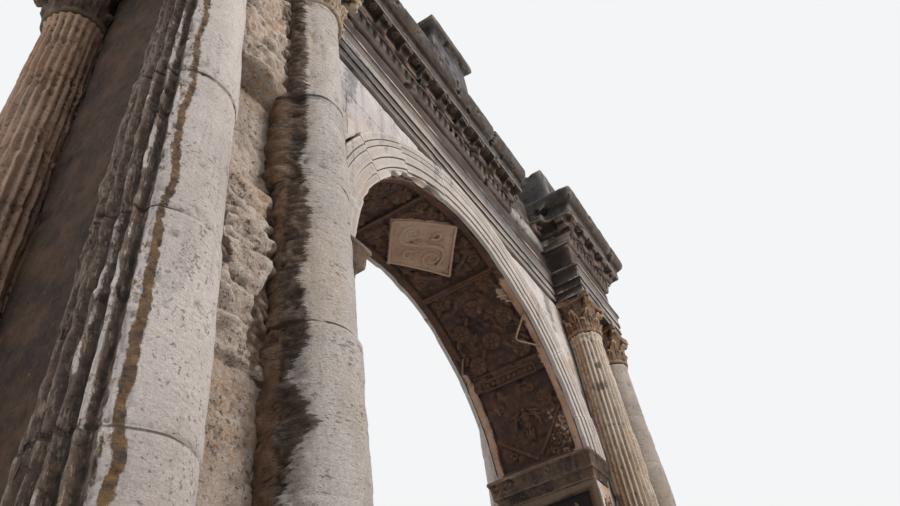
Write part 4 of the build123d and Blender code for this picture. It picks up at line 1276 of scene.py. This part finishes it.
vaultCarving = {
    "ground": 2.295,          # radius of the sunk panels
    "face": 2.262,            # radius of the lozenge's face
    "rib": 2.25,              # radius of the raised bands
    "lozenge": ((0.62, 0.0), (0.0, 0.48), (-0.62, 0.0), (0.0, -0.48)),
    # the double scroll on the lozenge: a wave, and curls by middle, size, turns, start and hand
    "wave": ((-0.40, -0.04), (-0.33, 0.12), (-0.16, 0.17), (0.0, 0.0), (0.16, -0.17), (0.33, -0.12),
             (0.40, 0.04)),
    "curls": (((-0.26, -0.03), 0.14, 1.5, 180, 1), ((0.26, 0.03), 0.14, 1.5, 0, 1),
              ((0.03, 0.22), 0.08, 1.1, 270, -1), ((-0.03, -0.22), 0.08, 1.1, 90, -1)),
    "tail": ((0.60, 0.10), (0.52, 0.28), (0.36, 0.40), (0.20, 0.44)),
    "flower": 0.125,
    # flowers by degrees from the springing and metres from the middle, and rows of leaves
    "flowers": ((67, 0.31), (67, -0.31), (60.5, 0.0), (54.5, 0.31), (54.5, -0.31), (48.5, 0.0),
                (42.8, 0.31), (42.8, -0.31)),
    "leaves": (64, 57.5, 51.5, 45.5),
}


def framed(corners, inset=0.0):
    # a closed line of strokes round corners, one stroke a side, drawn in towards the middle
    middle = [sum(c[i] for c in corners) / len(corners) for i in (0, 1)]
    shrunk = [tuple(m + (c[i] - m) * (1 - inset) for i, m in enumerate(middle)) for c in corners]
    return [[(a[0] + (b[0] - a[0]) * t / 5, a[1] + (b[1] - a[1]) * t / 5) for t in range(6)]
            for a, b in zip(shrunk, shrunk[1:] + shrunk[:1])]


def addVaultCarving(look):
    ground = onVault(look["ground"])
    face = onVault(look["face"])
    relief = newRelief()
    addStrokes(relief, face, framed(look["lozenge"], 0.02), 0.016)
    addStrokes(relief, face, [look["wave"], *(scroll(*curl) for curl in look["curls"])], 0.022, 0.1)
    addRosette(relief, face, (0.0, 0.0), 0.06)
    addCarving("vault_lozenge_relief", relief, lozengeStone)
    # curls in the corners of the crown panel
    relief = newRelief()
    for side in (1, -1):
        for back in (1, -1):
            tail = [(side * u, back * v, 1.2 - 0.2 * i) for i, (u, v) in enumerate(look["tail"])]
            head = scroll((side * 0.56, back * 0.36), 0.085, 1.3, 40, side * back)
            addStrokes(relief, ground, [tail, head], 0.034)
            addBlob(relief, ground, (side * 0.42, back * 0.36), (0.10, 0.05, 0.05), side * back * 40)
            addBlob(relief, ground, (side * 0.26, back * 0.43), (0.07, 0.03, 0.035), side * back * 20)
    for side in (1, -1):
        bar = [vaultSpot(90 - side * 20, back) for back in (-0.46, -0.2, 0.1, 0.46)]
        addStrokes(relief, onVault(look["rib"]), [bar], 0.016)
    # flowers in the long panels and leaves between them
    for side in (1, -1):
        for turn, back in look["flowers"]:
            addRosette(relief, ground, (side * vaultSpot(turn, back)[0], back), look["flower"], 7)
        for turn in look["leaves"]:
            for back in (0.17, -0.17, 0.42, -0.42):
                addBlob(relief, ground, (side * vaultSpot(turn, back)[0], back), (0.075, 0.028, 0.022),
                        35 * side * (1 if back > 0 else -1))
    addCarving("vault_flower_relief", relief, vaultCarvedStone)


def addFigurePanels(look):
    # an oblong frame, a winged figure and a bent frame round it, on both sides of the passage
    ground = onVault(look["ground"])
    rib = onVault(look["rib"])
    relief = newRelief()
    for side in (1, -1):
        def at(turn, back, *share):
            return (side * vaultSpot(turn, back)[0], back, *share)

        box = [at(38.4, -0.36), at(38.4, 0.34), at(35.6, 0.34), at(35.6, -0.36)]
        addStrokes(relief, rib, framed(box), 0.014)
        for i in range(9):
            addBlob(relief, rib, at(37.0, -0.31 + 0.075 * i), (0.032, 0.026, 0.022), 30)
        addStrokes(relief, ground, [[at(22.5, -0.47), at(16.5, -0.27), at(10.5, -0.05)],
                                    [at(18.5, 0.46), at(13.8, 0.22), at(9.2, 0.0)]], 0.024)
        wing = [at(29 - 2.4 * i, -0.30 - 0.035 * min(i, 3), 0.8) for i in range(5)]
        addStrokes(relief, ground, [wing], 0.02)
        # body, head and skirt of the figure
        addBlob(relief, ground, at(22.6, 0.0), (0.085, 0.055, 0.055))
        addBlob(relief, ground, at(20.0, 0.0), (0.055, 0.050, 0.045))
        addBlob(relief, ground, at(24.9, 0.0), (0.036, 0.030, 0.052))
        for back, lean in ((-0.035, 8), (0.0, 0), (0.035, -8)):
            addBlob(relief, ground, at(17.2, back), (0.095, 0.022, 0.040), lean * side)
        # feathers of each wing, an arm, and curls in the corners
        for hand in (1, -1):
            for i in range(5):
                addBlob(relief, ground, at(24.0 - 1.0 * i, hand * (0.12 + 0.012 * i)),
                        (0.105 - 0.010 * i, 0.020, 0.030), side * hand * (70 - 17 * i))
            arm = [at(23.4, hand * 0.05, 1), at(21.8, hand * 0.12, 0.8), at(22.6, hand * 0.18, 0.6)]
            addStrokes(relief, ground, [arm, scroll(at(27.2, hand * 0.27), 0.06, 1.2, 30, hand),
                                        scroll(at(30.5, hand * 0.18), 0.055, 1.2, 200, -hand),
                                        scroll(at(12.5, hand * 0.30), 0.055, 1.2, 90, hand)], 0.018)
    addCarving("vault_figure_relief", relief, vaultCarvedStone)


vineLook = {
    "foot": 1.90,             # how high the vines start, and how far up they run
    "length": 2.45,
    "pitch": 0.34,            # from one bend of the stem to the next but one
    "runs": (-0.30, 0.0, 0.30),
    "edges": (-0.165, 0.165),
}


def addVine(relief, place, half, look):
    # a running vine: one wavy stem with a scroll and a leaf in every bend
    pitch = look["pitch"]
    count = int(look["length"] / pitch)
    stem = [(half * 0.55 * math.sin(i * math.pi / 2), i * pitch / 4) for i in range(count * 4 + 1)]
    addStrokes(relief, place, [stem], 0.016)
    for i in range(count * 2):
        side = 1 if i % 2 else -1
        centre = (side * half * 0.28, (i + 0.5) * pitch / 2)
        addStrokes(relief, place, [scroll(centre, half * 0.55, 1.2, 90 - side * 60, side, 7)], 0.012)
        addBlob(relief, place, centre, (half * 0.20, half * 0.20, 0.022), 0, 6)
        leaf = (side * half * 0.82, (i + 0.9) * pitch / 2)
        addBlob(relief, place, leaf, (half * 0.20, half * 0.12, 0.018), side * 50, 6)


def addVines(look):
    # the slabs inside the passage have three runs each; the fronts of the piers one
    relief = newRelief()
    for side in (1, -1):
        for back in look["runs"]:
            place = onPlane((side * 2.270, back, look["foot"]), (0, 1, 0), (0, 0, 1), (-side, 0, 0))
            addVine(relief, place, 0.125, look)
        for face in (-1, 1):
            place = onPlane((side * 2.44, face * 0.61, look["foot"]), (1, 0, 0), (0, 0, 1), (0, face, 0))
            addVine(relief, place, 0.13, look)
            for edge in look["edges"]:
                addStrokes(relief, place, [[(edge, v) for v in (0.0, 0.8, 1.6, look["length"])]], 0.014)
    addCarving("vine_relief", relief, blackCapitalStone)


addVaultCarving(vaultCarving)
addFigurePanels(vaultCarving)
addVines(vineLook)
print("vault, jambs and piers carved")


bracketLook = {
    "spacing": 0.4346,        # brackets under the cornice, one at the middle of each face
    "broken": (1.45, 1.40),   # where the bays and the brackets of the front cornice have fallen
    "soffit": 8.529,
    "wall": 0.752,            # the soffit runs from here to the lip, from the middle of the wall
    "lip": 0.896,
    "front": (0.872, 8.47),   # how far out and how high the brackets' fronts are
    "pairs": 1.06,            # faces of the entablature over the columns, at the fronts and the ends
    "ends": 4.254,
    "reach": 0.184,           # from these faces to the middle of the soffit before them
    "flower": 0.052,
}


def addCorniceCarving(look):
    relief = newRelief()
    middle = (look["wall"] + look["lip"]) / 2
    lastBay, lastBracket = look["broken"]
    out, level = look["front"]
    for face in (-1, 1):
        place = onPlane((0, face * middle, look["soffit"]), (1, 0, 0), (0, face, 0), (0, 0, -1))
        for x in [(k + 0.5) * look["spacing"] for k in range(-5, 5)]:
            if face == 1 or x <= lastBay:
                addRosette(relief, place, (x, 0.0), look["flower"], 6, 6)
        front = onPlane((0, face * out, level), (1, 0, 0), (0, 0, 1), (0, face, 0))
        for x in [k * look["spacing"] for k in range(-5, 6)]:
            if face == -1 and x > lastBracket:
                continue
            addStrokes(relief, front, [scroll((x - 0.045, 0.0), 0.034, 1.1, 90, 1, 9),
                                       scroll((x + 0.045, 0.0), 0.034, 1.1, 90, -1, 9)], 0.010)
            addBlob(relief, front, (x, -0.03), (0.05, 0.026, 0.02), 90)
    for side in (-1, 1):
        for face in (-1, 1):
            place = onPlane((side * 3.457, face * (look["pairs"] + look["reach"]), look["soffit"]),
                            (1, 0, 0), (0, face, 0), (0, 0, -1))
            for x in (-0.62, -0.21, 0.21, 0.62):
                addRosette(relief, place, (x, 0.0), look["flower"], 6, 6)
        place = onPlane((side * (look["ends"] + look["reach"]), 0, look["soffit"]),
                        (0, 1, 0), (side, 0, 0), (0, 0, -1))
        for y in (-0.86, -0.43, 0.0, 0.43, 0.86):
            addRosette(relief, place, (y, 0.0), look["flower"], 6, 6)
    addCarving("cornice_flower_relief", relief, dentilStone)


addCorniceCarving(bracketLook)
print("cornice carved")


rodLook = {
    "thick": 0.0115,
    # degrees from the right springing, radius and distance from the middle of the wall
    "rods": (
        ((53.0, 2.27, -0.565), (50.4, 2.13, -0.475), (48.0, 2.01, -0.39), (47.2, 1.995, -0.385),
         (46.4, 2.01, -0.39), (44.2, 2.10, -0.45), (40.7, 2.27, -0.545)),
        ((59.6, 2.28, -0.52), (61.0, 2.20, -0.46), (62.3, 2.13, -0.40)),
        ((57.2, 2.28, -0.53), (58.6, 2.21, -0.49), (59.2, 2.17, -0.45)),
        ((47.0, 2.27, 0.45), (45.2, 2.16, 0.46), (43.0, 2.052, 0.47)),
    ),
}


def addRods(look):
    # bent rods that swing inwards from the broken lip of the vault
    relief = newRelief()
    for rod in look["rods"]:
        addStem(relief, [((radius * math.cos(math.radians(turn)), back,
                           archCentre + radius * math.sin(math.radians(turn))), look["thick"])
                         for turn, radius, back in rod])
    addCarving("bent_iron_rods", relief, rustedIron, ["iron_rods"], 0.0012)


addRods(rodLook)
print("rods bent")

added = 0
for piece in scene.objects:
    if piece.type == "MESH" and piece.name not in nodes and piece.name != "floor":
        count = triangles(piece.data)
        print(piece.name, count)
        added += count
print("pieces added:", added, "triangles in all")
